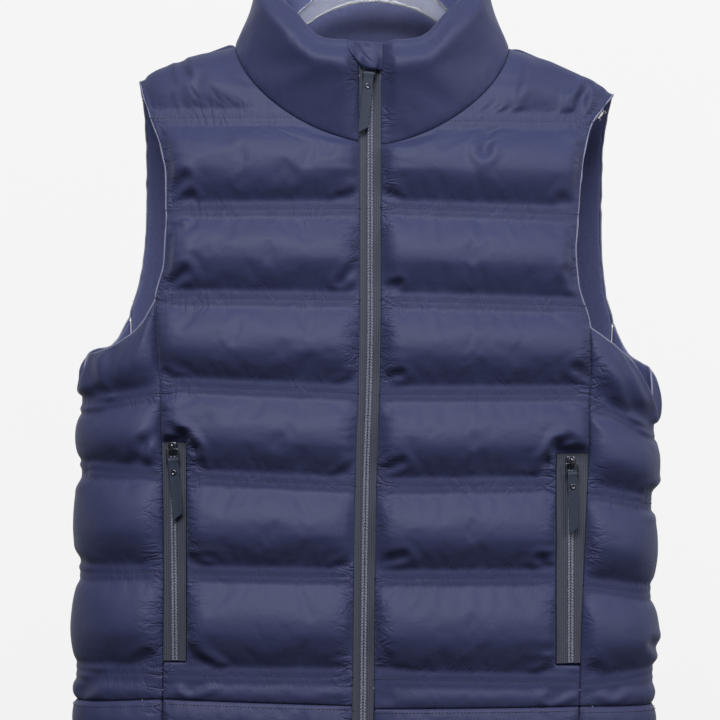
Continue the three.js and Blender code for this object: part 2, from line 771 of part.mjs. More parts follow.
// The standing collar: one padded tube from zip edge to zip edge, rolled over at its top.
const COLLAR_TOP = [
  { share: 0, x: 9.9, y: -66, z: -154.5 },
  { share: 0.17, x: 45, y: -60, z: -151 },
  { share: 0.3, x: 69, y: -45, z: -126 },
  { share: 0.42, x: 86, y: -27, z: -106 },
  { share: 0.56, x: 84, y: 2, z: -90 },
  { share: 0.78, x: 60, y: 33, z: -87 },
  { share: 1, x: 0, y: 43, z: -86 },
];
const COLLAR_SECTION = [
  { up: 0, out: 0, body: 0, inside: 0 },
  { up: 0.12, out: 0.2, body: 0.08, inside: 0.3 },
  { up: 0.26, out: 0.42, body: 0.16, inside: 0.7 },
  { up: 0.42, out: 0.64, body: 0.34, inside: 1 },
  { up: 0.6, out: 0.88, body: 0.6, inside: 1 },
  { up: 0.76, out: 1, body: 0.9, inside: 0.6 },
  { up: 0.9, out: 0.62, body: 1, inside: 0.2 },
];
// The collar is fullest in front, by the share of the way from the zip to the middle of the back.
const COLLAR_FULLNESS = [
  { share: 0, full: 1 },
  { share: 0.3, full: 1 },
  { share: 0.55, full: 0.62 },
  { share: 1, full: 0.75 },
];
const COLLAR_ROLL = { thick: 9, height: 3 };
const COLLAR_GAP = SEAM_GAP * 1.3; // between the neck seam and the collar's foot
function collarSections(neckEdges) {
  const { right, left, back } = neckEdges;
  const shoulderPoint = (edge) => {
    const last = edge[edge.length - 1];
    return { p: last.p.clone().setY(0), out: vec(last.p.x, 0, last.p.z + CLOTH) };
  };
  const base = [
    ...right.slice(0, -1),
    shoulderPoint(right),
    ...back.slice(1, -1),
    shoulderPoint(left),
    ...left.slice(0, -1).reverse(),
  ];
  const run = [0];
  for (let i = 1; i < base.length; i++) run.push(run[i - 1] + base[i].p.distanceTo(base[i - 1].p));
  const total = run[run.length - 1];
  const column = Object.fromEntries(["x", "y", "z"].map((c) => [c, smoothTable(COLLAR_TOP, "share", c)]));
  const fullness = smoothTable(COLLAR_FULLNESS, "share", "full");
  return base.map(({ p, out }, i) => {
    const fromRight = run[i] / total;
    const sign = fromRight < 0.5 ? -1 : 1;
    const share = 2 * Math.min(fromRight, 1 - fromRight);
    const lean = zipX(ZIP_LINE[ZIP_LINE.length - 1].z) * (1 - share);
    const top = vec(sign * column.x(share) + lean, column.y(share), column.z(share));
    const before = base[Math.max(0, i - 1)].p;
    const after = base[Math.min(base.length - 1, i + 1)].p;
    const along = after.clone().sub(before).normalize();
    const rise = top.clone().sub(p);
    const away = rise.clone().cross(along).normalize();
    const upright = rise.clone().addScaledVector(along, -rise.dot(along)).normalize();
    const clear = upright.multiplyScalar(COLLAR_GAP);
    const full = softPinch(Math.min(run[i], total - run[i]), END_REACH);
    const foot = out.clone().add(clear);
    const innerFoot = p.clone().add(clear);
    const loft = COLLAR_LOFT * fullness(share);
    const outer = COLLAR_SECTION.map((s) => {
      const from = mix(CLOTH, CLOTH + COLLAR_ROLL.thick * full * s.body, s.body);
      const offset = from + loft * full * s.out;
      if (s.up === 0) return foot;
      return innerFoot.clone().addScaledVector(rise, s.up).addScaledVector(away, offset);
    });
    const inner = COLLAR_SECTION.map((s) =>
      innerFoot.clone().addScaledVector(rise, s.up).addScaledVector(away, -COLLAR_INSIDE * full * s.inside),
    );
    const crown = (share) =>
      innerFoot.clone().add(rise).setZ(top.z + COLLAR_ROLL.height * full)
        .addScaledVector(away, CLOTH * share + COLLAR_ROLL.thick * full * share);
    return [...outer, crown(0.75), crown(0.2), ...inner.reverse()];
  });
}

// The front zip follows the cloth up to the neck, then the collar's front ends.
function zipPath(neckEdges) {
  const foot = neckEdges.right[0].p;
  const top = COLLAR_TOP[0];
  const slope = (top.y - foot.y) / (top.z - foot.z);
  return (z, offset) => {
    const { p, n } = wallPoint(zipX(z), Math.min(z, foot.z), true);
    const y = z > foot.z ? p.y + slope * (z - foot.z) : p.y;
    return { centre: vec(zipX(z), y - offset, z), turn: Math.atan2(n.x, -n.y) };
  };
}

// A strip along a path: rows of points across it, with a back and a front face.
function stripSolid(path, zs, left, right, from, to, crown = 0) {
  const across = [0, 0.5, 1];
  const face = (offset, bulge) => zs.map((z) => across.map((way) => {
    const { centre } = path(z, offset + bulge * (way === 0.5 ? 1 : 0));
    return vec(centre.x + mix(left, right, way), centre.y, centre.z);
  }));
  return wallSolid(face(to, crown), face(from, 0), 1);
}
const heights = (bottom, top, step) => {
  const count = Math.ceil((top - bottom) / step);
  return Array.from({ length: count + 1 }, (_, i) => mix(bottom, top, i / count));
};

function addFrontZip(neckEdges) {
  const path = zipPath(neckEdges);
  const top = COLLAR_TOP[0].z - 2;
  const zs = heights(HEM_Z + 2, top, 28);
  const tape = (from, to) => stripSolid(path, zs, from, to, TAPE.back, TAPE.front);
  addMesh("zip_tape_right", tape(-ZIP_HALF, -SEAM_GAP / 2), ZIP_TAPE);
  addMesh("zip_tape_left", tape(SEAM_GAP / 2, ZIP_HALF), ZIP_TAPE);
  const coilZs = heights(HEM_Z + 3, FRONT_SLIDER.z - SLIDER.length / 2 - SEAM_GAP, 28);
  addMesh(
    "zip_coil",
    stripSolid(path, coilZs, -COIL.half, COIL.half, COIL.back, COIL.front, COIL.crown),
    ZIP_COIL,
  );
  const { half, height, out, thick, topZ } = GARAGE;
  const outline = new THREE.Shape();
  outline.moveTo(-half, 0);
  outline.lineTo(-half + 2, -height);
  outline.quadraticCurveTo(0, -height - 1.5, half - 2, -height);
  outline.lineTo(half, 0);
  outline.quadraticCurveTo(0, 2.5, -half, 0);
  const flap = plateGeometry(outline, out, out + thick, 8);
  const seat = path(topZ, TAPE.front).centre;
  addMesh("zip_garage", flap, NAVY_TAFFETA, seat);
  return path;
}

// Hardware is drawn flat on its tape: x across, z up, and out of the cloth towards -y.
function plateGeometry(shape, from, to, curveSegments = 6) {
  const g = new THREE.ExtrudeGeometry(shape, { depth: to - from, bevelEnabled: false, curveSegments });
  g.rotateX(Math.PI / 2);
  g.translate(0, -from, 0);
  return g;
}
// A profile of outward distance and height, made as wide as given.
function profileGeometry(shape, width, curveSegments = 6) {
  const g = new THREE.ExtrudeGeometry(shape, { depth: width, bevelEnabled: false, curveSegments });
  g.applyMatrix4(new THREE.Matrix4().makeBasis(vec(0, -1, 0), vec(0, 0, 1), vec(-1, 0, 0)));
  g.translate(width / 2, 0, 0);
  return g;
}

function sliderGeometry() {
  const { width, length, base } = SLIDER;
  const plan = new THREE.Shape();
  plan.moveTo(-width / 2, length / 2 - 1.5);
  plan.quadraticCurveTo(-width / 2, length / 2, -width / 2 + 1.5, length / 2);
  plan.lineTo(width / 2 - 1.5, length / 2);
  plan.quadraticCurveTo(width / 2, length / 2, width / 2, length / 2 - 1.5);
  plan.lineTo(width / 2 - 1.2, -length / 2);
  plan.lineTo(-width / 2 + 1.2, -length / 2);
  plan.closePath();
  const plate = plateGeometry(plan, SEAM_GAP, SEAM_GAP + base);
  const { windowOut, windowHalf, wall, foot } = BRIDGE;
  const floor = SEAM_GAP + base;
  const arch = new THREE.Shape();
  arch.moveTo(floor - 0.8, -foot);
  arch.lineTo(floor, -foot);
  arch.quadraticCurveTo(floor + windowOut + wall, -foot, floor + windowOut + wall, -windowHalf + 0.6);
  arch.lineTo(floor + windowOut + wall, windowHalf - 0.6);
  arch.quadraticCurveTo(floor + windowOut + wall, foot, floor, foot);
  arch.lineTo(floor - 0.8, foot);
  arch.closePath();
  const window = new THREE.Path();
  window.moveTo(floor + 0.2, -windowHalf);
  window.lineTo(floor + 0.2, windowHalf);
  window.lineTo(floor + windowOut, windowHalf);
  window.lineTo(floor + windowOut, -windowHalf);
  window.closePath();
  arch.holes.push(window);
  return joined(plate, profileGeometry(arch, BRIDGE.width));
}

// The wire loop between a slider and its strap.
function bailGeometry() {
  const { wire, half, drop, corner } = BAIL;
  const [top, bottom] = [0, -drop];
  const corners = [
    { x: half, z: top, from: 90 },
    { x: half, z: bottom, from: 0 },
    { x: -half, z: bottom, from: -90 },
    { x: -half, z: top, from: -180 },
  ];
  const sections = [];
  for (const { x, z, from } of corners) {
    for (const part of [0, 0.5, 1]) {
      const a = THREE.MathUtils.degToRad(from - 90 * part);
      const centre = vec(x - Math.sign(x) * corner, 0, z + (z === top ? -corner : corner));
      const ray = vec(Math.cos(a), 0, Math.sin(a));
      const at = centre.addScaledVector(ray, corner);
      sections.push([0, 60, 120, 180, 240, 300].map((deg) => {
        const b = THREE.MathUtils.degToRad(deg);
        return at.clone().addScaledVector(ray, wire * Math.cos(b)).add(vec(0, wire * Math.sin(b), 0));
      }));
    }
  }
  return sweptSolid(sections, true);
}

function strapGeometry() {
  const { width, length, thick, slant, lead, eye, eyeWall } = STRAP;
  const radius = eye + eyeWall;
  const eyeZ = -BAIL.drop;
  const [back, front] = [lead - thick / 2, lead + thick / 2];
  const startAngle = Math.asin(-Math.sqrt(radius * radius - front * front) / radius);
  const endAngle = 2 * Math.PI - Math.acos(back / radius);
  const side = new THREE.Shape();
  side.moveTo(back, eyeZ - length);
  side.lineTo(front, eyeZ - length);
  side.absarc(0, eyeZ, radius, startAngle, endAngle, false);
  side.closePath();
  const hole = new THREE.Path();
  hole.absarc(0, eyeZ, eye, 0, 2 * Math.PI, true);
  side.holes.push(hole);
  const g = profileGeometry(side, width, 8);
  const at = g.getAttribute("position");
  for (let k = 0; k < at.count; k++) {
    if (at.getZ(k) < eyeZ - length + 0.1) at.setZ(k, at.getZ(k) + (at.getX(k) / width) * slant);
  }
  return g;
}

// A slider with its pull: a wire loop, a flat strap folded round it and a rivet through the fold.
function addPull(prefix, seat, turn, lean) {
  const place = new THREE.Group();
  place.position.copy(seat);
  place.rotation.z = turn;
  addTo(place, prefix + "_slider", sliderGeometry(), GUNMETAL);
  const swing = new THREE.Group();
  swing.position.set(0, -PIVOT.out, PIVOT.z);
  swing.rotation.y = THREE.MathUtils.degToRad(lean);
  addTo(swing, prefix + "_bail", bailGeometry(), GUNMETAL);
  addTo(swing, prefix + "_strap", strapGeometry(), SLATE_RUBBER);
  const rivet = new THREE.CylinderGeometry(STRAP.rivet, STRAP.rivet * 0.7, STRAP.rivetThick, 14);
  const rivetOut = STRAP.lead + STRAP.thick / 2 + SEAM_GAP + STRAP.rivetThick / 2;
  rivet.translate(0, -rivetOut, -BAIL.drop - STRAP.rivetDown);
  addTo(swing, prefix + "_rivet", rivet, GUNMETAL);
  place.add(swing);
  vest.add(place);
}

function addPocket(side) {
  const { sign } = SIDES.find((s) => s.name === side);
  const pocket = POCKETS[side];
  const zs = heights(pocket.bottom + POCKET_END, pocket.top - POCKET_END, 30);
  const downShare = (z) => (pocket.top - z) / (pocket.top - pocket.bottom);
  const coilX = (z) => pocket.coilX - sign * pocket.lean * downShare(z);
  const row = (z, from, to, offset) => [0, 0.33, 0.67, 1].map((way) => {
    const { p, n } = wallPoint(mix(from(z), to(z), way), z, true);
    return p.clone().addScaledVector(n, offset);
  });
  const strip = (rows, from, to, back, front) =>
    wallSolid(rows.map((z) => row(z, from, to, front)), rows.map((z) => row(z, from, to, back)), sign);
  const outer = (z) => frontEdgeX[side](z) - sign * SEAM_GAP;
  const inner = () => pocket.inner + sign * SEAM_GAP * 2;
  addMesh("pocket_tape_" + side, strip(zs, inner, outer, TAPE.back, TAPE.front), ZIP_TAPE);
  const coilTop = pocket.sliderZ - SLIDER.length / 2 - SEAM_GAP;
  const coilEdge = (shift) => (z) => coilX(z) + sign * shift;
  addMesh(
    "pocket_coil_" + side,
    strip(
      heights(pocket.bottom + POCKET_END + 1, coilTop, 30),
      coilEdge(-COIL.half),
      coilEdge(COIL.half),
      TAPE.front + SEAM_GAP,
      TAPE.front + SEAM_GAP + COIL.front - COIL.back,
    ),
    ZIP_COIL,
  );
  const { p, n } = wallPoint(coilX(pocket.sliderZ), pocket.sliderZ, true);
  const seat = p.clone().addScaledVector(n, TAPE.front);
  addPull("pocket_" + side, seat, Math.atan2(n.x, -n.y), pocket.pullLean);
}

// A clear moulded hanger: a thin web between two rims, and its steel hook.
function hangerGeometry() {
  const rightArm = HANGER_TOP.map((r) => vec(-r.x, 0, r.z)).reverse();
  const leftArm = HANGER_TOP.slice(1).map((r) => vec(r.x, 0, r.z));
  const top = [...rightArm, ...leftArm];
  const { archRadius, archHalf, apexZ, wallDepth, edgeDepth, rim } = HANGER;
  const archZ = (x) => apexZ - archRadius + Math.sqrt(archRadius * archRadius - x * x);
  const { neck, tip } = HANGER_BOTTOM_AT;
  const arch = heights(-archHalf, archHalf, 8).map((x) => vec(x, 0, archZ(x)));
  const bottom = [
    vec(-tip.x, 0, tip.z), vec(-neck.x, 0, neck.z), ...arch, vec(neck.x, 0, neck.z), vec(tip.x, 0, tip.z),
  ];
  const outline = new THREE.Shape();
  top.forEach((p, i) => (i ? outline.lineTo(p.x, p.z) : outline.moveTo(p.x, p.z)));
  bottom.slice().reverse().forEach((p) => outline.lineTo(p.x, p.z));
  outline.closePath();
  const web = plateGeometry(outline, -wallDepth, wallDepth);
  const rimAlong = (line, inward) => {
    const sections = line.map((p, i) => {
      const t = line[Math.min(line.length - 1, i + 1)].clone().sub(line[Math.max(0, i - 1)]).normalize();
      const side = vec(-t.z, 0, t.x).multiplyScalar(inward * rim);
      const at = (depth, share) => p.clone().addScaledVector(side, share).add(vec(0, depth, 0));
      return [at(-edgeDepth, 0), at(edgeDepth, 0), at(edgeDepth, 1), at(-edgeDepth, 1)];
    });
    return sweptSolid(sections);
  };
  return joined(web, rimAlong(top, -1), rimAlong(bottom, 1));
}
function hookGeometry() {
  const { wire, radius, stemFoot, stemTop, stemX } = HOOK;
  const centre = vec(0, 0, wire - radius);
  const points = [
    vec(stemX, 0, stemFoot),
    vec(stemX, 0, mix(stemFoot, stemTop, 0.6)),
    vec(stemX + 2, 0, stemTop),
  ];
  for (let deg = -50; deg <= 205; deg += 15) {
    const a = THREE.MathUtils.degToRad(deg);
    points.push(centre.clone().add(vec(radius * Math.cos(a), 0, radius * Math.sin(a))));
  }
  const path = new THREE.CatmullRomCurve3(points, false, "centripetal");
  const section = new THREE.Shape();
  section.absarc(0, 0, wire, 0, 2 * Math.PI, false);
  const sweep = { steps: 32, curveSegments: 4, extrudePath: path, bevelEnabled: false };
  return new THREE.ExtrudeGeometry(section, sweep);
}

const neckEdges = addPanels();
addMesh("collar", sweptSolid(collarSections(neckEdges)), NAVY_TAFFETA);
const frontPath = addFrontZip(neckEdges);
const frontSeat = frontPath(FRONT_SLIDER.z, TAPE.front);
addPull("front", frontSeat.centre, 0, FRONT_SLIDER.pullLean);
for (const { name } of SIDES) addPocket(name);
const hanger = new THREE.Group();
hanger.position.x = HANGER.centreX;
hanger.rotation.y = HANGER.tilt;
addTo(hanger, "hanger_body", hangerGeometry(), CLEAR_PLASTIC);
vest.add(hanger);
addMesh("hanger_hook", hookGeometry(), STEEL);

export default vest;
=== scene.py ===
import json
import math

import bpy
import numpy as np
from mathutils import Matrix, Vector


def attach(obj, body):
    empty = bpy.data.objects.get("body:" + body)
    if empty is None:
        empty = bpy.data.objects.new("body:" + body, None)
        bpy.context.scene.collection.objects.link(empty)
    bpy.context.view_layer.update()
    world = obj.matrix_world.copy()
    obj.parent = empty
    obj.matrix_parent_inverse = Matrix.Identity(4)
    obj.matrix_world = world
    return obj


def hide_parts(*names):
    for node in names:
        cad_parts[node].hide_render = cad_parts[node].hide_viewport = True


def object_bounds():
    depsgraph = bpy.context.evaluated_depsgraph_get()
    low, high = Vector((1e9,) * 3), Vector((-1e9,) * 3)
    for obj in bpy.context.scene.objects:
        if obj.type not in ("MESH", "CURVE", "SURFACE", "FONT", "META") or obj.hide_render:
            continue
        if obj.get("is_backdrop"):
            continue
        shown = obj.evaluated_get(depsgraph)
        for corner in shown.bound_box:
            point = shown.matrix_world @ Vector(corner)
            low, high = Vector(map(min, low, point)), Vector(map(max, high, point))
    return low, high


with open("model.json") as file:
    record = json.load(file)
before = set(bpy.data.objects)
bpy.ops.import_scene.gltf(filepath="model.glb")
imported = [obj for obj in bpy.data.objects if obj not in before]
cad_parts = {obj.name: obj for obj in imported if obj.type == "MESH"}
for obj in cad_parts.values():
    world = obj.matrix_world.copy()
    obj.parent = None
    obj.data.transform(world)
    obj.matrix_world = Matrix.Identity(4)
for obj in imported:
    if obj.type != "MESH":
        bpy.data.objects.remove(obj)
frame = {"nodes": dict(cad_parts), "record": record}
cad_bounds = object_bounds()

bl_info = {
    "name": "Puffer Vest",
    "version": (1, 0, 0),
    "blender": (4, 5, 0),
    "location": "3D View > Sidebar > Vest",
    "description": "Sews, fills and hangs a quilted puffer vest with its zips and clear hanger",
    "category": "Add Mesh",
}

def table(columns, *rows):
    """Rows with named columns."""
    return [dict(zip(columns, row)) for row in rows]


# Every table here is in millimetres, in the part's own frame: x to the wearer's left, y to the
# back and z up, from the point where the hanger's hook rests.
MM = 0.001
SIGN = {"right": -1, "left": 1}
CLOTH = 2.4  # two layers of cloth and a seam allowance, pressed flat
SEAM_GAP = 0.05
# Between two channels: heights from the middle of their flat bonded band, and how far each stands out.
BAND_ROWS = [(1.4, 0.9, False), (-2.8, 0, True), (-6.6, 0.7, False)]
BAND_ABOVE, BAND_BELOW = 5, 10.5
CREST = 0.42  # how far up its height a channel stands out the most
EDGE_STRIP = {"zip": 2.5, "seam": 1.5, "armhole": 6}  # pressed flat along each edge
SHOULDER_THICKNESS = 8
FULL_CHANNEL = 62
HEM_Z = -800
NECK_DROP_FRONT = 95
NECK_DROP_BACK = 22
NECK_POWER = 1.65
NECK_WAY = 0.575
ZIP_HALF = 9.7
SIDE_PANEL_WIDTH = 180
# Lengths across the panels that their columns of mesh are shared out over.
FRONT_COLUMNS = {"to_pocket": 172, "past_pocket": 24, "pocket_way": 0.885}
BACK_COLUMNS = {"neck": 128, "shoulder": 95}
END_REACH = 18
NECK_REACH = 40

BODY_POWER = 2.6
BODY_WIDTHS = table(
    ("z", "centre", "half"),
    (-820, -9, 270.5),
    (-720, -8.5, 269),
    (-640, -8, 266.5),
    (-500, -5.3, 268),
    (-150, -5.3, 268),
)
SHOULDER_ROUND = {"height": 150, "power": 2.2}
BODY_DEPTHS = table(
    ("z", "front", "back"),
    (-820, 80, 70),
    (-620, 82, 72),
    (-450, 80, 74),
    (-300, 70, 68),
    (-150, 60, 58),
)
SHOULDERS = {
    "right": {"neck_x": -130, "neck_z": -150, "tip_x": -221, "tip_z": -184},
    "left": {"neck_x": 127, "neck_z": -152, "tip_x": 226, "tip_z": -196},
}
ZIP_LINE = table(
    ("z", "x"),
    (-810, -10.6),
    (-760, -10.1),
    (-575, -7.8),
    (-410, -3.5),
    (-100, -3.5),
)
FRONT_EDGE = {
    "right": table(
        ("z", "x"),
        (-810, -196),
        (-630, -195),
        (-464, -198),
        (-391, -203),
        (-356, -195),
        (-312, -193),
        (-280, -193),
        (-251, -197.5),
        (-219, -209),
        (-184, -221),
    ),
    "left": table(
        ("z", "x"),
        (-810, 189),
        (-668, 193.5),
        (-502, 200),
        (-416, 201),
        (-375, 190),
        (-345, 188),
        (-300, 191),
        (-258, 195.5),
        (-228, 203),
        (-196, 226),
    ),
}
BACK_EDGE = {
    "right": table(
        ("z", "x"),
        (-810, -222),
        (-560, -224),
        (-405, -233),
        (-369, -224),
        (-320, -218),
        (-240, -217),
        (-184, -221),
    ),
    "left": table(
        ("z", "x"),
        (-810, 210),
        (-560, 214),
        (-411, 229),
        (-380, 222),
        (-320, 218),
        (-240, 219),
        (-196, 226),
    ),
}
# The underarm edge by its share of the way round the side. It dips where the panel is folded.
UNDERARM = {
    "right": table(
        ("way", "z"),
        (0, -391),
        (0.1, -416),
        (0.2, -428),
        (0.33, -437.5),
        (0.44, -442),
        (0.52, -476),
        (0.62, -457),
        (0.74, -438),
        (0.88, -433),
        (1, -405),
    ),
    "left": table(
        ("way", "z"),
        (0, -416),
        (0.14, -431),
        (0.285, -448),
        (0.363, -464),
        (0.44, -483),
        (0.52, -502),
        (0.58, -470),
        (0.66, -456),
        (0.76, -450),
        (0.88, -441),
        (1, -411),
    ),
}
# The side panels are drawn flatter and squarer at the sides than at their seams.
SIDE_FULLNESS = table(
    ("way", "share"),
    (0, 1),
    (0.2, 1),
    (0.44, 0.52),
    (0.6, 0.52),
    (0.86, 0.9),
    (1, 1),
)
# Middle heights of the flat bands, from the hem up.
FRONT_BANDS = {
    "right": table(
        ("zip", "edge"),
        (-736, -735),
        (-643.5, -641),
        (-559, -551),
        (-474, -466.5),
        (-388, -385.5),
        (-303, -304),
        (-218, -218),
    ),
    "left": table(
        ("zip", "edge"),
        (-738, -742),
        (-645, -645),
        (-560, -558.5),
        (-475, -474.5),
        (-388, -393),
        (-302, -308),
        (-221.5, -221.5),
    ),
}
SIDE_BANDS = {
    "right": table(
        ("front", "side", "back"),
        (-733, -736, -736),
        (-640, -643, -642),
        (-549, -546, -553),
        (-474, -486, -472),
    ),
    "left": table(
        ("front", "side", "back"),
        (-745, -739, -738),
        (-652, -663, -645),
        (-566, -579, -560),
        (-483, -512, -476),
    ),
}
BACK_BANDS = [-736, -643, -557, -472, -387, -303, -219]
HEM_SEAM = {
    "right": {"zip": -766, "edge": -761, "side": -766, "back": -764},
    "left": {"zip": -769, "edge": -768, "side": -770, "back": -764},
}
POCKETS = {
    "right": {"top": -520, "bottom": -728, "inner": -173.5, "coil_x": -186, "lean": 2, "slider_z": -528},
    "left": {"top": -530, "bottom": -730.5, "inner": 168.5, "coil_x": 182, "lean": 0, "slider_z": -541},
}
LOFTS = {"channel": 15, "yoke": 11, "low": 9, "casing": 4}

# The zips' hardware. A pull is drawn as it hangs, round the middle of the wire in its slider.
TAPE_OUT = 1.6
PIVOT = {"out": 4.3, "z": -1}
BAIL = {"wire": 0.7, "half": 5.6, "drop": 9.5, "corner": 1.6, "tail": 3.2}
STRAP = {"width": 9.4, "length": 53.5, "slant": 6.5, "lead": 0.4, "layer": 1.15, "tuck": 16}
RIVET = {"radius": 2.8, "down": 12, "thick": 0.9}
SLIDER = {"width": 8.6, "length": 12, "base": 2.4, "bevel": 0.7}
BRIDGE = {"width": 2.6, "thick": 1.1, "top": 3.2, "foot": 4.8}
PULLS = {
    "front": {"z": -169.8, "lean": 6},
    "pocket_right": {"z": -528, "lean": -5.5},
    "pocket_left": {"z": -541, "lean": -2},
}

# The cloth tab that the zip closes into: its edges from the top down, and how it is folded.
GARAGE_ROWS = table(
    ("down", "left", "right", "left_z", "right_z"),
    (0, -25.1, 9.1, -149.2, -151.9),
    (0.35, -22, 8.8, -158.5, -161),
    (0.7, -17, 8.4, -167.5, -169.5),
    (0.9, -12, 8.1, -174, -175.4),
    (1, -5, 7.9, -178, -177.2),
)
GARAGE_STRIP = [(-21.5, -150), (-20, -155), (-16.5, -161.5), (-11, -168), (-4, -172.5), (3.5, -174)]

HANGER = {
    "x": 5.8, "tilt": 1.5, "web": 1.8, "rim": 2.4,
    "arch_radius": 102, "arch_half": 62, "apex_z": -106.6,
}
HANGER_TOP = [
    (0, -80), (16, -81), (38, -91), (57, -104), (71, -117),
    (100, -141.5), (128, -159), (170, -180), (208, -199), (219, -206),
]
HANGER_FOOT = [(128, -172), (214, -213)]
HOOK = {"wire": 1.9, "radius": 21, "foot": -77.5, "top": -50, "x": 4}

# Folds that the cloth hangs in, each from one point to another: x, z, to x, to z, width and depth,
# which is below zero for a trough and above zero for a ridge.
FOLD_COLUMNS = ("x", "z", "to_x", "to_z", "width", "depth")
FOLDS = {
    "front_right": [
        (-191.4, -294.4, -173.0, -278.8, 4.5, -5),
        (-188.6, -305.4, -169.3, -295.3, 4, -4),
        (-173.0, -302.7, -174.8, -319.2, 4, 3),
        (-188.6, -319.2, -190.4, -356.0, 3.5, -3),
        (-187.7, -376.3, -173.0, -365.2, 4.5, -4.5),
        (-190.4, -391.0, -174.8, -381.8, 4, -3.5),
        (-179.4, -172.0, -173.0, -183.1, 4, -3),
        (-16.6, -291.6, -33.1, -297.2, 3.5, -3.5),
        (-15.6, -297.2, -31.3, -305.4, 3.5, 3),
        (-17.5, -358.8, -30.4, -375.4, 4, -4),
        (-18.4, -381.8, -35.0, -388.2, 4, -4),
        (-17.5, -462.8, -31.3, -472.0, 4, -3.5),
        (-18.4, -542.8, -33.1, -554.8, 4, -3.5),
        (-19.3, -630.2, -35.0, -639.4, 4, -3),
        (-193.2, -460.0, -180.3, -468.3, 4, -4),
        (-192.3, -478.4, -176.6, -472.0, 4, -3.5),
        (-185.8, -509.7, -174.8, -516.1, 4.5, -5),
        (-174.8, -516.1, -164.7, -528.1, 4.5, -5),
        (-164.7, -528.1, -161.0, -552.9, 4.5, -4),
        (-173.0, -630.2, -156.4, -639.4, 4, -3.5),
        (-171.1, -716.7, -147.2, -733.2, 5, -5),
        (-169.3, -749.8, -147.2, -736.9, 5, -4),
    ],
    "front_left": [
        (195.0, -199.6, 187.7, -231.8, 4.5, -6),
        (191.4, -205.2, 196.0, -243.8, 4, -5),
        (178.5, -203.3, 176.6, -218.0, 4, 3),
        (127.0, -172.0, 110.4, -212.5, 6, -6),
        (110.4, -212.5, 101.2, -254.8, 5, -5),
        (134.3, -175.7, 121.4, -223.6, 5, -5),
        (186.8, -303.6, 173.0, -297.2, 4, -4),
        (180.3, -327.5, 186.8, -334.9, 3.5, -4),
        (177.6, -363.4, 188.6, -380.0, 4, -5),
        (190.4, -391.0, 176.6, -399.3, 4, -4),
        (7.4, -289.8, 22.1, -296.2, 3.5, -3.5),
        (8.3, -306.4, 16.6, -311.0, 3.5, -4),
        (6.4, -381.8, 22.1, -377.2, 4, -4),
        (7.4, -464.6, 23.9, -459.1, 4, -3.5),
        (8.3, -547.4, 25.8, -540.0, 4, -3.5),
        (9.2, -632.0, 27.6, -626.5, 4, -3),
        (167.4, -525.3, 176.6, -519.8, 4.5, -5),
        (158.2, -540.0, 167.4, -525.3, 4.5, -5),
        (153.6, -560.3, 158.2, -540.0, 4.5, -4),
        (196.9, -460.0, 184.0, -453.6, 4, -4),
        (196.9, -486.7, 185.8, -479.3, 4, -4),
        (164.7, -639.4, 152.7, -630.2, 4, -3.5),
        (157.3, -736.9, 175.7, -729.6, 5, -5),
        (163.8, -759.0, 184.9, -746.1, 5, -4),
    ],
    "side_right": [
        (-200.9, -513.2, -210.2, -523.4, 4.5, -5),
        (-210.6, -523.6, -217.2, -540.3, 4.5, -5),
        (-217.6, -540.5, -219.5, -552.7, 4.5, -4),
        (-202.5, -524.6, -214.6, -547.0, 4, 4),
        (-202.7, -483.6, -218.6, -476.1, 4, -3),
        (-252.0, -477.4, -273.8, -484.9, 4.5, -5),
        (-263.8, -446.2, -254.3, -472.6, 6, -3),
        (-238.3, -436.8, -242.0, -468.7, 6, -2.5),
        (-202.2, -548.7, -208.8, -556.2, 4, -4),
        (-201.3, -632.6, -212.5, -640.1, 4, -3.5),
        (-201.3, -716.5, -218.1, -729.5, 5, -4.5),
        (-254.9, -744.5, -270.0, -757.7, 5, -4),
        (-266.5, -548.3, -274.1, -557.7, 4, -4),
        (-268.4, -635.2, -275.9, -631.4, 4, -3),
    ],
    "side_left": [
        (207.6, -429.4, 212.2, -485.5, 5, -5),
        (217.6, -436.8, 242.0, -493.1, 6, -6.5),
        (233.9, -446.2, 253.7, -495.2, 6, -6),
        (225.8, -438.7, 250.3, -497.0, 4, 3),
        (243.6, -493.4, 262.4, -512.3, 5, -5),
        (254.5, -569.2, 251.6, -584.3, 4, -5),
        (261.6, -567.5, 257.9, -586.5, 3.5, -4.5),
        (201.3, -487.2, 210.6, -500.3, 4, -4),
        (199.4, -567.4, 212.5, -574.8, 4, -4),
        (200.4, -651.2, 214.4, -658.7, 4, -3.5),
        (201.3, -733.3, 221.8, -753.8, 5, -5),
        (252.2, -711.6, 265.4, -721.1, 4, -4),
    ],
    "back": [
        (-205, -330, -168, -352, 5, -5),
        (-208, -295, -180, -284, 4, -4),
        (206, -322, 170, -346, 5, -5),
        (208, -408, 182, -420, 4, -4),
        (-212, -480, -180, -500, 5, -5),
        (202, -560, 168, -580, 5, -5),
        (-206, -640, -176, -662, 5, -4),
        (96, -196, 60, -236, 7, -5),
        (-100, -192, -66, -240, 7, -5),
        (-60, -470, 30, -476, 6, -2),
        (198, -740, 150, -722, 5, -5),
        (-208, -736, -160, -720, 5, -5),
    ],
}

COLLAR_TOP = table(
    ("share", "x", "y", "z"),
    (0, 9.9, -66, -154.5),
    (0.17, 45, -60, -151),
    (0.3, 69, -45, -126),
    (0.42, 86, -27, -106),
    (0.56, 84, 2, -90),
    (0.78, 60, 33, -87),
    (1, 0, 43, -86),
)
COLLAR_SECTION = table(
    ("up", "out", "body", "inside"),
    (0, 0, 0, 0),
    (0.12, 0.2, 0.08, 0.3),
    (0.26, 0.42, 0.16, 0.7),
    (0.42, 0.64, 0.34, 1),
    (0.6, 0.88, 0.6, 1),
    (0.76, 1, 0.9, 0.6),
    (0.9, 0.62, 1, 0.2),
    (1, 0.1, 1, 0),
)
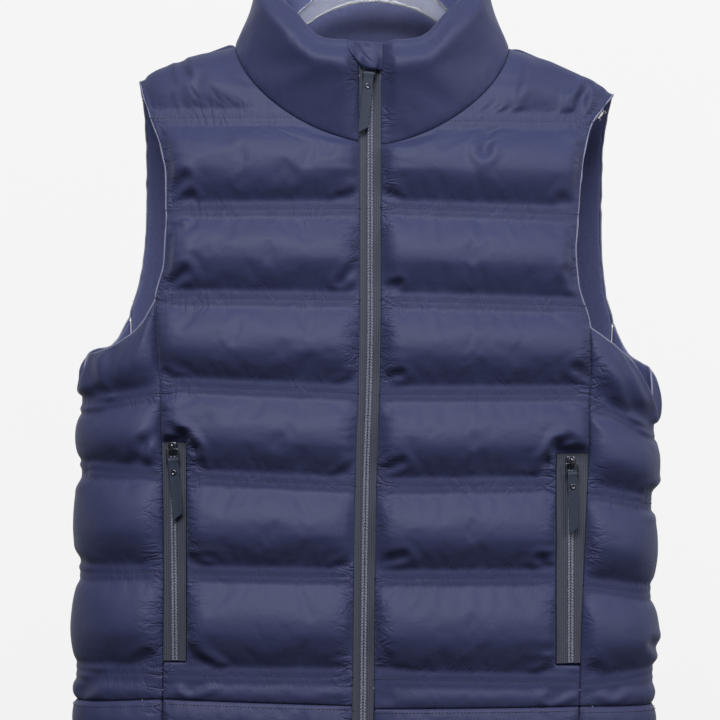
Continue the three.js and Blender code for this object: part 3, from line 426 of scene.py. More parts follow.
# The collar is fullest in front, by the share of the way from the zip to the middle of the back.
COLLAR_FULLNESS = table(
    ("share", "full"),
    (0, 1),
    (0.3, 1),
    (0.55, 0.62),
    (1, 0.75),
)
COLLAR = {"loft": 15, "inside": 4, "roll": 9, "seam_up": 0.93, "seam_depth": 3.5, "seam_width": 0.03}
COLLAR_HEIGHT = 88  # about, along its cloth
# How far from a seam, in millimetres, the shell's puckers fade.
DRAWN_REACH = {"edge": 12, "band": 7, "collar_end": 14}


def hex_colour(text):
    """An sRGB hex colour as the linear one that shaders take."""
    values = [int(text[k : k + 2], 16) / 255 for k in (1, 3, 5)]
    return tuple(v / 12.92 if v <= 0.04045 else ((v + 0.055) / 1.055) ** 2.4 for v in values)


def clamp01(t):
    return np.clip(t, 0, 1)


def mix(a, b, t):
    return a + (b - a) * t


def unit(v):
    return v / np.linalg.norm(v, axis=-1, keepdims=True)


def smooth_table(rows, key, column):
    """A smooth curve through a table's rows that never overshoots them."""
    rows = sorted(rows, key=lambda r: r[key])
    ks = np.array([r[key] for r in rows], float)
    vs = np.array([r[column] for r in rows], float)
    spans = np.diff(ks)
    slopes = np.diff(vs) / spans
    tangents = np.concatenate([slopes[:1], np.zeros(len(ks) - 2), slopes[-1:]])
    for i in range(1, len(ks) - 1):
        a, b = slopes[i - 1], slopes[i]
        tangents[i] = 0 if a * b <= 0 else 2 * a * b / (a + b)

    def value(at):
        at = np.asarray(at, float)
        i = np.clip(np.searchsorted(ks, at, side="right") - 1, 0, len(spans) - 1)
        t = (at - ks[i]) / spans[i]
        s = clamp01(t)
        inside = (
            mix(vs[i], vs[i + 1], s * s * (3 - 2 * s))
            + spans[i] * tangents[i] * s * (1 - s) ** 2
            - spans[i] * tangents[i + 1] * s * s * (1 - s)
        )
        above = np.where(t > 1, (t - 1) * spans[i] * slopes[-1], 0)
        return inside + np.where(t < 0, t * spans[i] * slopes[0], above)

    return value


zip_x = smooth_table(ZIP_LINE, "z", "x")
depth_front = smooth_table(BODY_DEPTHS, "z", "front")
depth_back = smooth_table(BODY_DEPTHS, "z", "back")
body_centre = smooth_table(BODY_WIDTHS, "z", "centre")
body_half = smooth_table(BODY_WIDTHS, "z", "half")
side_fullness = smooth_table(SIDE_FULLNESS, "way", "share")
front_edge_x = {side: smooth_table(FRONT_EDGE[side], "z", "x") for side in SIGN}
back_edge_x = {side: smooth_table(BACK_EDGE[side], "z", "x") for side in SIGN}
underarm_z = {side: smooth_table(UNDERARM[side], "way", "z") for side in SIGN}


def ridge_of(side, x):
    """Height of one shoulder's ridge over x, carried on smoothly over the neck."""
    s = SHOULDERS[side]
    slope = (s["neck_z"] - s["tip_z"]) / (s["tip_x"] - s["neck_x"])
    inside = 1 - x / s["neck_x"]
    over_neck = s["neck_z"] + slope * s["neck_x"] * inside * (1 - inside / 2)
    return np.where(inside <= 0, s["neck_z"] + slope * (s["neck_x"] - x), over_neck)


def ridge_z(x):
    blend_half = 60
    t = clamp01((x + blend_half) / (2 * blend_half))
    to_left = t * t * (3 - 2 * t)
    return mix(ridge_of("right", np.minimum(x, 0)), ridge_of("left", np.maximum(x, 0)), to_left)


def depth_at(x, z, is_front):
    """How far the lining's front or back stands from the shoulder plane."""
    across = np.minimum(1, np.abs(x - body_centre(z)) / body_half(z))
    roll = (1 - across**BODY_POWER) ** (1 / BODY_POWER)
    below = clamp01((ridge_z(x) - z) / SHOULDER_ROUND["height"])
    q = SHOULDER_ROUND["power"]
    dome = (1 - (1 - below) ** q) ** (1 / q)
    return (depth_front(z) if is_front else depth_back(z)) * roll * dome


def wall_point(x, z, is_front):
    """Points of the front or back lining and the way out of it there."""
    x, z = np.broadcast_arrays(np.asarray(x, float), np.asarray(z, float))
    facing = -1 if is_front else 1
    step = 0.5
    zn = np.minimum(z, ridge_z(x) - 2)
    slope_x = (depth_at(x + step, zn, is_front) - depth_at(x - step, zn, is_front)) / (2 * step)
    slope_z = (depth_at(x, zn + step, is_front) - depth_at(x, zn - step, is_front)) / (2 * step)
    y = facing * np.maximum(depth_at(x, z, is_front), SEAM_GAP / 2)
    normal = unit(np.stack([-slope_x, np.full_like(slope_x, facing), -slope_z], axis=-1))
    return np.stack([x, y, z], axis=-1), normal


def side_point(side, way, z):
    """Points round the side of the lining, from the front seam to the back seam."""
    way, z = np.broadcast_arrays(np.asarray(way, float), np.asarray(z, float))
    sign, power = SIGN[side], 2 / BODY_POWER
    centre, half = body_centre(z), body_half(z)

    def angle_of(x):
        return np.arcsin(np.minimum(1, np.abs(x - centre) / half) ** (1 / power))

    start = angle_of(front_edge_x[side](z) + sign * SEAM_GAP / 2)
    end = math.pi - angle_of(back_edge_x[side](z) + sign * SEAM_GAP / 2)
    steps = 72
    a = start[..., None] + (end - start)[..., None] * np.linspace(0, 1, steps + 1)
    depth = np.where(np.cos(a) > 0, -depth_front(z)[..., None], depth_back(z)[..., None])
    ring_x = centre[..., None] + sign * half[..., None] * np.sin(a) ** power
    ring_y = depth * np.abs(np.cos(a)) ** power
    lengths = np.cumsum(np.hypot(np.diff(ring_x, axis=-1), np.diff(ring_y, axis=-1)), axis=-1)
    lengths = np.concatenate([np.zeros_like(lengths[..., :1]), lengths], axis=-1)
    wanted = way * lengths[..., -1]
    i = np.clip((lengths < wanted[..., None]).sum(axis=-1) - 1, 0, steps - 1)[..., None]
    at = lambda values, k: np.take_along_axis(values, k, axis=-1)[..., 0]
    t = (wanted - at(lengths, i)) / (at(lengths, i + 1) - at(lengths, i))
    x = mix(at(ring_x, i), at(ring_x, i + 1), t)
    y = mix(at(ring_y, i), at(ring_y, i + 1), t)
    dx, dy = at(ring_x, i + 1) - at(ring_x, i), at(ring_y, i + 1) - at(ring_y, i)
    normal = unit(np.stack([dy * sign, -dx * sign, np.zeros_like(dx)], axis=-1))
    return np.stack([x, y, z], axis=-1), normal


def neck_x(side, z):
    """How far out the front neck seam is at a height."""
    drop = clamp01((SHOULDERS[side]["neck_z"] - z) / NECK_DROP_FRONT)
    return SHOULDERS[side]["neck_x"] * (1 - drop**NECK_POWER) ** (1 / NECK_POWER)


def back_neck_z(x):
    outer = np.where(x < 0, SHOULDERS["right"]["neck_x"], SHOULDERS["left"]["neck_x"])
    neck_z = np.where(x < 0, SHOULDERS["right"]["neck_z"], SHOULDERS["left"]["neck_z"])
    share = clamp01(np.abs(x / outer))
    middle = (SHOULDERS["right"]["neck_z"] + SHOULDERS["left"]["neck_z"]) / 2
    return mix(middle, neck_z, share) - NECK_DROP_BACK * (1 - share**2.5)


def channel_profile(up):
    """A channel hangs full: an even slope under its crest and a long round fall above it."""
    up = clamp01(up)
    below = 1 - np.abs(1 - np.minimum(up, CREST) / CREST) ** 1.35
    above = 1 - (np.maximum(up - CREST, 0) / (1 - CREST)) ** 2.1
    return np.where(up < CREST, below, above)


def pinch(distance, reach):
    t = clamp01(distance / reach)
    return np.sqrt(1 - (1 - t) ** 2)


def soft_pinch(distance, reach):
    t = clamp01(distance / reach)
    return t * t * (3 - 2 * t)


def fold_depth(panel, x, z):
    total = np.zeros_like(x)
    for row in FOLDS.get(panel, []):
        f = dict(zip(FOLD_COLUMNS, row))
        dx, dz = f["to_x"] - f["x"], f["to_z"] - f["z"]
        t = clamp01(((x - f["x"]) * dx + (z - f["z"]) * dz) / (dx * dx + dz * dz))
        away = np.hypot(x - f["x"] - t * dx, z - f["z"] - t * dz) / f["width"]
        valley = np.exp(-(away**2)) - 0.4 * np.exp(-((away - 1.9) ** 2))
        total = total + f["depth"] * valley
    return total


def wander(t, seed):
    """A smooth random line between -1 and 1."""
    knots = np.random.default_rng(seed).uniform(-1, 1, 997)
    i = np.floor(t).astype(int)
    s = t - i
    return mix(knots[i % 997], knots[(i + 1) % 997], s * s * (3 - 2 * s))


def gathers(distance, along, seed, pucker, reach, height):
    """Small puckers that run out from a seam and fade, where its thread has drawn the cloth up."""
    phase = along / pucker + 0.8 * wander(along / 31, seed) + distance * wander(along / 17, seed + 1) / 90
    ridges = 1 - 2 * np.abs(np.sin(math.pi * phase)) ** 0.8
    strength = clamp01(0.55 + 0.75 * wander(along / (2.3 * pucker), seed + 2))
    length = reach * (1 + 0.6 * wander(along / (1.4 * pucker), seed + 3))
    from_seam = 1 - np.exp(-distance / 3)
    return height * ridges * strength * from_seam * np.exp(-((distance / length) ** 1.5))


class Rows:
    """The rows of a panel's mesh from its bottom to its top, each a height across the panel."""

    def __init__(self, ways, step):
        self.ways = ways
        self.step = step
        self.heights, self.puffs, self.shoulder, self.sewn, self.from_band = [], [], [], [], []
        self.bands = []

    def channel(self, floor, ceiling, loft, is_yoke=False, power=None):
        low, high = floor(self.ways), ceiling(self.ways)
        count = max(4, round(float(np.median(high - low)) / self.step))
        fill = np.minimum(1, (high - low) / FULL_CHANNEL)
        for k in range(count + 1):
            up = k / count
            profile = channel_profile(up) if power is None else max(0, math.sin(math.pi * up)) ** power
            self.heights.append(mix(low, high, up))
            self.puffs.append(loft * profile * fill)
            self.shoulder.append(max(0, (up - 0.6) / 0.4) if is_yoke else 0)
            self.sewn.append(k in (0, count))
            self.from_band.append(min(up, 1 - up) * (high - low))

    def band(self, middle):
        for up, puff, is_sewn in BAND_ROWS[::-1]:
            if is_sewn:
                self.bands.append(len(self.heights))
            self.heights.append(middle(self.ways) + up)
            self.puffs.append(np.full_like(self.ways, puff))
            self.shoulder.append(0)
            self.sewn.append(is_sewn)
            self.from_band.append(np.zeros_like(self.ways))

    def finish(self):
        self.heights, self.puffs = np.array(self.heights), np.array(self.puffs)
        self.shoulder, self.sewn = np.array(self.shoulder)[:, None], np.array(self.sewn)
        self.from_band = np.array(self.from_band)
        return self


def panel_rows(ways, step, hem, bands, top, is_yoke):
    rows = Rows(ways, step)
    floor = lambda way: hem(way) + SEAM_GAP / 2
    for k, band in enumerate(bands):
        loft = LOFTS["low"] if k == 0 else LOFTS["channel"]
        rows.channel(floor, lambda way: band(way) - BAND_BELOW, loft)
        rows.band(band)
        floor = lambda way, band=band: band(way) + BAND_ABOVE
    rows.channel(floor, top, LOFTS["yoke"] if is_yoke else LOFTS["channel"], is_yoke)
    return rows.finish()


def hem_rows(ways, step, hem):
    rows = Rows(ways, step)
    bottom = lambda way: np.full_like(way, HEM_Z)
    rows.channel(bottom, lambda way: hem(way) - SEAM_GAP / 2, LOFTS["casing"] * 2, power=0.8)
    return rows.finish()


def thickness(rows, puff, ends, crease, across, seams):
    """Cloth and filling together. Seams are distances from the panel's drawn-up side edges."""
    seam = CLOTH + (SHOULDER_THICKNESS - CLOTH) * rows.shoulder * ends
    drawn = gathers(rows.from_band, across, 11, 19, 9, 0.9)
    for n, (distance, height) in enumerate(seams):
        drawn = drawn + gathers(distance, rows.heights, 23 + 7 * n, 12, 20, height)
    creased = np.where(puff > 1, crease * ends + drawn * clamp01(puff / 4), 0)
    return np.maximum(seam, seam + puff * ends + creased)


def patch(name, lining, normal, thick, rows, from_side, kept=None):
    """One padded piece before it is filled: its lining, its shell and what is sewn down."""
    outer = lining + normal * thick[..., None]
    beside = np.exp(-((from_side / DRAWN_REACH["edge"]) ** 2))
    drawn = np.stack([beside, np.exp(-((rows.from_band / DRAWN_REACH["band"]) ** 2))], axis=-1)
    high, wide = outer.shape[:2]
    if kept is None:
        kept = np.ones((high - 1, wide - 1), bool)
    sewn = np.zeros((high, wide), bool)
    sewn[rows.sewn] = True
    touched = np.zeros((high + 1, wide + 1), int)
    touched[1:-1, 1:-1] = kept
    around = touched[:-1, :-1] + touched[1:, :-1] + touched[:-1, 1:] + touched[1:, 1:]
    sewn |= around < 4
    made = {"name": name, "lining": lining, "normal": normal, "shell": outer, "sewn": sewn, "kept": kept}
    return made | {"drawn": drawn, "bands": rows.bands}


def front_patch(side, step, is_hem=False):
    sign, pocket, shoulders = SIGN[side], POCKETS[side], SHOULDERS[side]
    bands = [lambda way, b=b: mix(b["zip"], b["edge"], way) for b in FRONT_BANDS[side]]
    hem = lambda way: mix(HEM_SEAM[side]["zip"], HEM_SEAM[side]["edge"], way)
    top = lambda way: mix(shoulders["neck_z"], shoulders["tip_z"], way)
    to_pocket = round(FRONT_COLUMNS["to_pocket"] / step)
    past_pocket = max(3, round(FRONT_COLUMNS["past_pocket"] / step))
    pocket_way = FRONT_COLUMNS["pocket_way"]
    beyond = np.linspace(pocket_way, 1, past_pocket + 1)[1:]
    even = np.concatenate([np.linspace(0, pocket_way, to_pocket + 1), beyond])
    rows = hem_rows(even, step, hem) if is_hem else panel_rows(even, step, hem, bands, top, True)
    z = rows.heights
    z_in, z_out = z[:, :1], z[:, -1:]
    zip_edge = zip_x(z_in) + sign * (ZIP_HALF + SEAM_GAP)
    neck = np.where(z_in > shoulders["neck_z"] - NECK_DROP_FRONT, neck_x(side, z_in), 0)
    at_neck = sign * neck > sign * zip_edge
    x_in = np.where(at_neck, neck, zip_edge)
    x_out = front_edge_x[side](z_out) - sign * SEAM_GAP / 2
    low_z = np.minimum(z_in, pocket["top"] + 40)
    seam_x = front_edge_x[side](low_z) - sign * SEAM_GAP / 2
    inner_way = (pocket["inner"] - zip_x(low_z) - sign * ZIP_HALF) / (seam_x - zip_x(low_z) - sign * ZIP_HALF)
    ways = np.where(
        even <= pocket_way,
        even / pocket_way * inner_way,
        inner_way + (even - pocket_way) / (1 - pocket_way) * (1 - inner_way),
    )
    x = mix(x_in, x_out, ways)
    lining, normal = wall_point(x, z, True)
    in_rows = (z_out < pocket["top"]) & (z_out > pocket["bottom"]) & (not is_hem)
    cell_rows = in_rows[:-1, 0] & in_rows[1:, 0]
    kept = np.ones((z.shape[0] - 1, z.shape[1] - 1), bool)
    kept[np.ix_(cell_rows, np.arange(to_pocket, kept.shape[1]))] = False
    beside = np.maximum(0, sign * (pocket["inner"] - x))
    above = np.maximum(0, np.maximum(z - pocket["top"], pocket["bottom"] - z))
    from_pocket = np.full_like(x, END_REACH) if is_hem else np.hypot(beside, above)
    from_zip, from_edge = np.abs(x - x_in), np.abs(x - x_out)
    inward = np.where(
        at_neck, soft_pinch(from_zip, NECK_REACH), pinch(from_zip - EDGE_STRIP["zip"], END_REACH)
    )
    strip = np.where(z_out > UNDERARM[side][0]["z"], EDGE_STRIP["armhole"], EDGE_STRIP["seam"])
    outward = np.minimum(pinch(from_edge - strip, END_REACH), pinch(from_pocket - 1, END_REACH))
    ends = np.minimum(inward, outward)
    from_side = np.minimum(from_edge, from_pocket)
    seams = [(from_zip, 1.8), (from_side, 2.2)]
    thick = thickness(rows, rows.puffs, ends, fold_depth("front_" + side, x, z), x, seams)
    name = ("hem_front_" if is_hem else "front_") + side
    near = np.minimum(np.where(at_neck, 60, from_zip), from_side)
    made = patch(name, lining, normal, thick, rows, near, kept)
    made["flip"] = sign < 0
    return made


def side_patch(side, step, is_hem=False):
    def across(row, start="front"):
        points = table(("way", "z"), (0, row[start]), (0.5, row["side"]), (1, row["back"]))
        return smooth_table(points, "way", "z")

    hem = across(HEM_SEAM[side], "edge")
    bands = [across(row) for row in SIDE_BANDS[side]]
    ways = np.linspace(0, 1, round(SIDE_PANEL_WIDTH / step) + 1)
    top = underarm_z[side]
    rows = hem_rows(ways, step, hem) if is_hem else panel_rows(ways, step, hem, bands, top, False)
    z = rows.heights
    lining, normal = side_point(side, np.broadcast_to(ways, z.shape), z)
    from_seam = np.minimum(ways, 1 - ways) * SIDE_PANEL_WIDTH * np.ones_like(z)
    ends = pinch(from_seam - EDGE_STRIP["seam"], END_REACH)
    fullness = side_fullness(ways)
    puff = LOFTS["channel"] * fullness * (rows.puffs / LOFTS["channel"]) ** fullness
    name = ("hem_side_" if is_hem else "side_") + side
    crease = fold_depth("side_" + side, lining[..., 0], z)
    thick = thickness(rows, puff, ends, crease, ways * SIDE_PANEL_WIDTH, [(from_seam, 2.4)])
    made = patch(name, lining, normal, thick, rows, from_seam)
    made["flip"] = SIGN[side] < 0
    return made


def back_patch(step, is_hem=False):
    to_neck_end = np.linspace(0, NECK_WAY, round(BACK_COLUMNS["neck"] / step) + 1)
    beyond = np.linspace(NECK_WAY, 1, round(BACK_COLUMNS["shoulder"] / step) + 1)[1:]
    half = np.concatenate([to_neck_end, beyond])
    ways = np.concatenate([-half[:0:-1], half])
    tips = lambda way: np.where(way < 0, SHOULDERS["right"]["tip_x"], SHOULDERS["left"]["tip_x"])

    def top(way):
        x = np.abs(way) * tips(way)
        return np.where(np.abs(way) <= NECK_WAY, back_neck_z(x), ridge_z(x))

    hem = lambda way: np.full_like(way, HEM_SEAM["right"]["back"])
    bands = [lambda way, z=z: np.full_like(way, z) for z in BACK_BANDS]
    rows = hem_rows(ways, step, hem) if is_hem else panel_rows(ways, step, hem, bands, top, True)
    z, shoulder = rows.heights, rows.shoulder
    edge = np.where(
        ways < 0,
        back_edge_x["right"](z[:, :1]) + SEAM_GAP / 2,
        back_edge_x["left"](z[:, -1:]) - SEAM_GAP / 2,
    )
    x = np.abs(ways) * edge
    lining, normal = wall_point(x, z, False)
    near_neck = (shoulder > 0) & (np.abs(ways) <= NECK_WAY)
    to_neck = np.where(near_neck, NECK_REACH * (1 - shoulder), NECK_REACH)
    from_edge = np.abs(x - edge)
    strip = np.where(z > UNDERARM["left"][-1]["z"], EDGE_STRIP["armhole"], EDGE_STRIP["seam"])
    ends = np.minimum(pinch(from_edge - strip, END_REACH), soft_pinch(to_neck, NECK_REACH))
    seams = [(from_edge, 2.2)]
    thick = thickness(rows, rows.puffs, ends, fold_depth("back", x, z), x, seams)
    made = patch("hem_back" if is_hem else "back", lining, normal, thick, rows, from_edge)
    made["flip"] = True
    return made


def neck_seam(step):
    """The neck seam from the right zip edge, round the back, to the left one: cloth point and way out."""
    lines = []
    for side in ("right", "left"):
        s = SHOULDERS[side]
        drop = np.sin(np.linspace(0, math.pi / 2, 90)) ** (2 / NECK_POWER)
        z = s["neck_z"] - NECK_DROP_FRONT * drop
        x = neck_x(side, z)
        start = zip_x(z) + SIGN[side] * (ZIP_HALF + SEAM_GAP)
        beyond = SIGN[side] * x > SIGN[side] * start
        p, n = wall_point(x[beyond], z[beyond], True)
        first, first_n = wall_point(start[~beyond][0], z[~beyond][0], True)
        lines.append((np.vstack([p, first]), np.vstack([n, first_n])))
    x = np.linspace(SHOULDERS["right"]["neck_x"], SHOULDERS["left"]["neck_x"], 121)[1:-1]
    back_p, back_n = wall_point(x, back_neck_z(x), False)
    (right_p, right_n), (left_p, left_n) = lines
    p = np.vstack([right_p[::-1], back_p, left_p])
    n = np.vstack([right_n[::-1], back_n, left_n])
    for _ in range(6):
        n[1:-1] = (n[:-2] + 2 * n[1:-1] + n[2:]) / 4
    run = np.concatenate([[0], np.cumsum(np.linalg.norm(np.diff(p, axis=0), axis=1))])
    at = np.linspace(0, run[-1], round(run[-1] / step) + 1)
    resample = lambda v: np.stack([np.interp(at, run, v[:, k]) for k in range(3)], axis=-1)
    return resample(p), unit(resample(n)), at / run[-1], run[-1]


def collar_patch(step):
    base, normal, share, length = neck_seam(step)
    side_sign = np.where(share < 0.5, -1, 1)
    round_share = 2 * np.minimum(share, 1 - share)
    column = {c: smooth_table(COLLAR_TOP, "share", c) for c in "xyz"}
    lean = zip_x(ZIP_LINE[-1]["z"]) * (1 - round_share)
    top = np.stack(
        [side_sign * column["x"](round_share) + lean, column["y"](round_share), column["z"](round_share)],
        axis=-1,
    )
    for _ in range(4):
        top[1:-1] = (top[:-2] + 2 * top[1:-1] + top[2:]) / 4
    along = unit(np.gradient(base, axis=0))
    rise = top - base
    away = unit(np.cross(rise, along))
    clear = unit(rise - along * (rise * along).sum(-1, keepdims=True)) * SEAM_GAP * 1.3
    full = soft_pinch(np.minimum(share, 1 - share) * length, END_REACH)[:, None, None]
    loft = COLLAR["loft"] * smooth_table(COLLAR_FULLNESS, "share", "full")(round_share)[:, None, None]
    up = np.linspace(0, 1, round(COLLAR_HEIGHT / step) + 1)
    section = {c: smooth_table(COLLAR_SECTION, "up", c)(up)[None, :, None] for c in ("out", "body", "inside")}
    line = base[:, None] + clear[:, None] + rise[:, None] * up[None, :, None]
    body = section["body"]
    shell_out = CLOTH + COLLAR["roll"] * full * body**2 + loft * full * section["out"]
    run_at = (share * length)[:, None] * np.ones_like(up)
    from_seam = np.minimum(up, np.abs(up - COLLAR["seam_up"])) * COLLAR_HEIGHT * np.ones_like(run_at)
    from_end = np.minimum(run_at, length - run_at)
    drawn = gathers(from_seam, run_at, 71, 12, 15, 1.3)
    drawn = drawn + gathers(from_end, up * COLLAR_HEIGHT * np.ones_like(run_at), 83, 11, 16, 1.6)
    beside = np.exp(-((from_end / DRAWN_REACH["collar_end"]) ** 2))
    collar_drawn = np.stack([beside, np.exp(-((from_seam / DRAWN_REACH["band"]) ** 2))], axis=-1)
    away_seam = (up - COLLAR["seam_up"]) / COLLAR["seam_width"]
    pressed = COLLAR["seam_depth"] * np.exp(-(away_seam**2))
    shell_out = shell_out + full * (drawn - pressed)[:, :, None]
    shell = line + away[:, None] * shell_out
    shell[:, 0] = base + clear + normal * CLOTH
    hanging = 2.2 * wander(run_at / 26 + up * 1.3, 91) * np.sin(math.pi * up)
    lining = line - away[:, None] * full * (COLLAR["inside"] * section["inside"] + hanging[:, :, None])
    roll = (CLOTH + COLLAR["roll"] * full[:, 0]) / 2
    middle = line[:, -1] + away * roll

    def over_the_top(*turns):
        """Columns of points round the collar's top edge, by their angle from the outside."""
        columns = []
        for turn in turns:
            a = math.radians(turn)
            lift = np.array([0, 0, 1]) * roll * 0.85 * math.sin(a)
            columns.append(middle + away * roll * math.cos(a) + lift)
        return np.stack(columns, axis=1)

    shell = np.concatenate([shell, over_the_top(20, 50, 80, 110)], axis=1)
    lining = np.concatenate([lining, over_the_top(170, 155, 135, 115)], axis=1)
    rows, columns = shell.shape[:2]
    sewn = np.zeros((rows, columns), bool)
    sewn[0] = sewn[-1] = True
    sewn[:, 0] = sewn[:, -1] = True
    sewn[:, np.abs(away_seam).argmin()] = True
    outward = np.broadcast_to(away[:, None], shell.shape)
    return {
        "name": "collar",
        "lining": lining,
        "normal": outward,
        "shell": shell,
        "sewn": sewn,
        "kept": np.ones((rows - 1, columns - 1), bool),
        "flip": True,
        "drawn": np.concatenate([collar_drawn, collar_drawn[:, -1:].repeat(4, axis=1)], axis=1),
    }


def grid_faces(kept, flip, first=0):
    rows, columns = kept.shape[0] + 1, kept.shape[1] + 1
    index = np.arange(rows * columns).reshape(rows, columns) + first
    quads = np.stack([index[:-1, :-1], index[:-1, 1:], index[1:, 1:], index[1:, :-1]], axis=-1)[kept]
    return quads[:, ::-1] if flip else quads


def closed_piece(made):
    """Vertices and faces of a padded piece: its shell, its lining and the edge between them."""
    shell, lining = made["shell"].reshape(-1, 3), made["lining"].reshape(-1, 3)
    count = len(shell)
    outer = grid_faces(made["kept"], made["flip"])
    inner = grid_faces(made["kept"], not made["flip"], count)
    edges = np.concatenate([outer[:, [k, (k + 1) % 4]] for k in range(4)])
    known = set(map(tuple, edges.tolist()))
    rim = [(b, a, a + count, b + count) for a, b in known if (b, a) not in known]
    faces = outer.tolist() + inner.tolist() + rim
    used = np.unique(np.concatenate([outer.ravel(), inner.ravel()]))
    renumber = np.full(2 * count, -1)
    renumber[used] = np.arange(len(used))
    vertices = np.vstack([shell, lining])[used]
    faces = [tuple(int(renumber[v]) for v in face) for face in faces]
    kinds = [0] * len(outer) + [1] * len(inner) + [0] * len(rim)
    drawn = made["drawn"].reshape(-1, 2)
    drawn = np.vstack([drawn, drawn * 0.5])[used]
    return vertices, faces, kinds, np.column_stack([drawn, np.zeros(len(drawn))])


def new_object(name, vertices, faces, materials, kinds=None, smooth=True):
    """A mesh object from points in millimetres."""
    mesh = bpy.data.meshes.new(name)
    mesh.from_pydata((np.asarray(vertices) * MM).tolist(), [], faces)
    for material in materials:
        mesh.materials.append(material)
    if kinds is not None:
        mesh.polygons.foreach_set("material_index", kinds)
    mesh.polygons.foreach_set("use_smooth", [smooth] * len(mesh.polygons))
    mesh.update()
    piece = bpy.data.objects.new(name, mesh)
    bpy.context.scene.collection.objects.link(piece)
    return piece


def resampled(path, step):
    path = np.asarray(path, float)
    run = np.concatenate([[0], np.cumsum(np.linalg.norm(np.diff(path, axis=0), axis=1))])
    at = np.linspace(0, run[-1], max(2, round(run[-1] / step) + 1))
    return np.stack([np.interp(at, run, path[:, k]) for k in range(path.shape[1])], axis=-1)


def tube(path, radius, sides=10, is_ring=False, flat=1.0, side_way=None):
    """Vertices and faces of a round or flattened bar along a path, with domed ends unless it is a ring."""
    path = np.asarray(path, float)
    around = (np.roll(path, -1, axis=0) - np.roll(path, 1, axis=0)) if is_ring else np.gradient(path, axis=0)
    along = unit(around)
    first = np.cross(along[0], (0, 1, 0) if abs(along[0][1]) < 0.8 else (1, 0, 0))
    first = unit(first) if side_way is None else unit(np.asarray(side_way, float))
    firsts = [first]
    for t in along[1:]:
        carried = firsts[-1] - t * (firsts[-1] * t).sum()
        firsts.append(unit(carried))
    firsts = np.array(firsts)
    seconds = np.cross(along, firsts)
    radii = np.full(len(path), float(radius)) if np.isscalar(radius) else np.asarray(radius, float)
    if not is_ring:
        domes = [(0.92, 0.4), (0.7, 0.7), (0.38, 0.92)]
        before = [path[0] - along[0] * radii[0] * far for near, far in domes]
        after = [path[-1] + along[-1] * radii[-1] * far for near, far in domes]
        path = np.vstack([before[::-1], path, after])
        firsts = np.vstack([[firsts[0]] * 3, firsts, [firsts[-1]] * 3])
        seconds = np.vstack([[seconds[0]] * 3, seconds, [seconds[-1]] * 3])
        shares = [near for near, far in domes]
        radii = np.concatenate([radii[0] * np.array(shares[::-1]), radii, radii[-1] * np.array(shares)])
    a = np.linspace(0, 2 * math.pi, sides, endpoint=False)
    offsets = np.cos(a)[None, :, None] * firsts[:, None] + flat * np.sin(a)[None, :, None] * seconds[:, None]
    return ring_of_points(path[:, None] + radii[:, None, None] * offsets, is_ring)


def put_together(parts):
    """Several lots of vertices and faces as one."""
    vertices, faces, first = [], [], 0
    for points, made in parts:
        vertices.append(np.asarray(points))
        faces += [tuple(v + first for v in face) for face in made]
        first += len(points)
    return np.vstack(vertices), faces


def ring_of_points(rings, is_closed=False):
    """Vertices and faces of a skin over rings of as many points each, closed by its first and last."""
    count, sides = len(rings), len(rings[0])
    faces = []
    for i in range(count if is_closed else count - 1):
        n = (i + 1) % count
        for k in range(sides):
            m = (k + 1) % sides
            faces.append((i * sides + k, i * sides + m, n * sides + m, n * sides + k))
    if not is_closed:
        faces.append(tuple(range(sides))[::-1])
        faces.append(tuple(range((count - 1) * sides, count * sides)))
    return np.vstack(rings), faces


def bevelled_plate(outline, back, front, bevel):
    """A flat plate from its outline of x and z, with rounded front and back edges."""
    outline = np.asarray(outline, float)
    middle = outline.mean(axis=0)
    half = np.abs(outline - middle).max(axis=0)
    rings = [(1, back), (0.3, back + 0.3 * bevel), (0, back + bevel)]
    rings += [(0, front - bevel), (0.3, front - 0.3 * bevel), (1, front)]
    made = []
    for inset, out in rings:
        flat = middle + (outline - middle) * (1 - inset * bevel / half)
        made.append(np.stack([flat[:, 0], np.full(len(flat), -out), flat[:, 1]], axis=-1))
    return ring_of_points(made[::-1])


def turned(profile, sides=28):
    """A turned form from a profile of radius and outward distance, facing -y."""
    a = np.linspace(0, 2 * math.pi, sides, endpoint=False)
    rings = [
        np.stack([r * np.cos(a), np.full(sides, -float(out)), r * np.sin(a)], axis=-1) for r, out in profile
    ]
    return ring_of_points(rings)


def strap_band(path, width, thick, slant_from, slant):
    """A flat band along a path in y and z, with rounded edges and a raised lip along each."""
    path = np.asarray(path, float)
    along = unit(np.gradient(path, axis=0))
    normal = np.stack([along[:, 1], -along[:, 0]], axis=-1)
    half, lip = width / 2, 0.16
    across = np.array([-1, -0.96, -0.88, -0.78, 0, 0.78, 0.88, 0.96, 1]) * half
    rise = np.array([0.3, 0.82, 1, 1 - lip, 1 - lip, 1 - lip, 1, 0.82, 0.3]) * thick / 2
    section = list(zip(across, rise)) + list(zip(across[::-1], -rise[::-1]))
    rings = []
    for p, n in zip(path, normal):
        ring = np.array([(x, p[0] + n[0] * r, p[1] + n[1] * r) for x, r in section])
        share = clamp01((slant_from - p[1]) / (slant_from - path[-1][1]))
        ring[:, 2] += share * slant * ring[:, 0] / width
        rings.append(ring)
    return ring_of_points(rings)


def placed(points, seat, turn, lean=None):
    """Points of a slider or of its pull, set on their zip as the part's frame has them."""
    points = np.asarray(points, float)
    if lean is not None:
        c, q = math.cos(lean), math.sin(lean)
        x, y, z = points.T
        points = np.stack([x * c + z * q, y, z * c - x * q], axis=-1) + (0, -PIVOT["out"], PIVOT["z"])
    c, q = math.cos(turn), math.sin(turn)
    x, y, z = points.T
    return np.stack([x * c - y * q, x * q + y * c, z], axis=-1) + seat


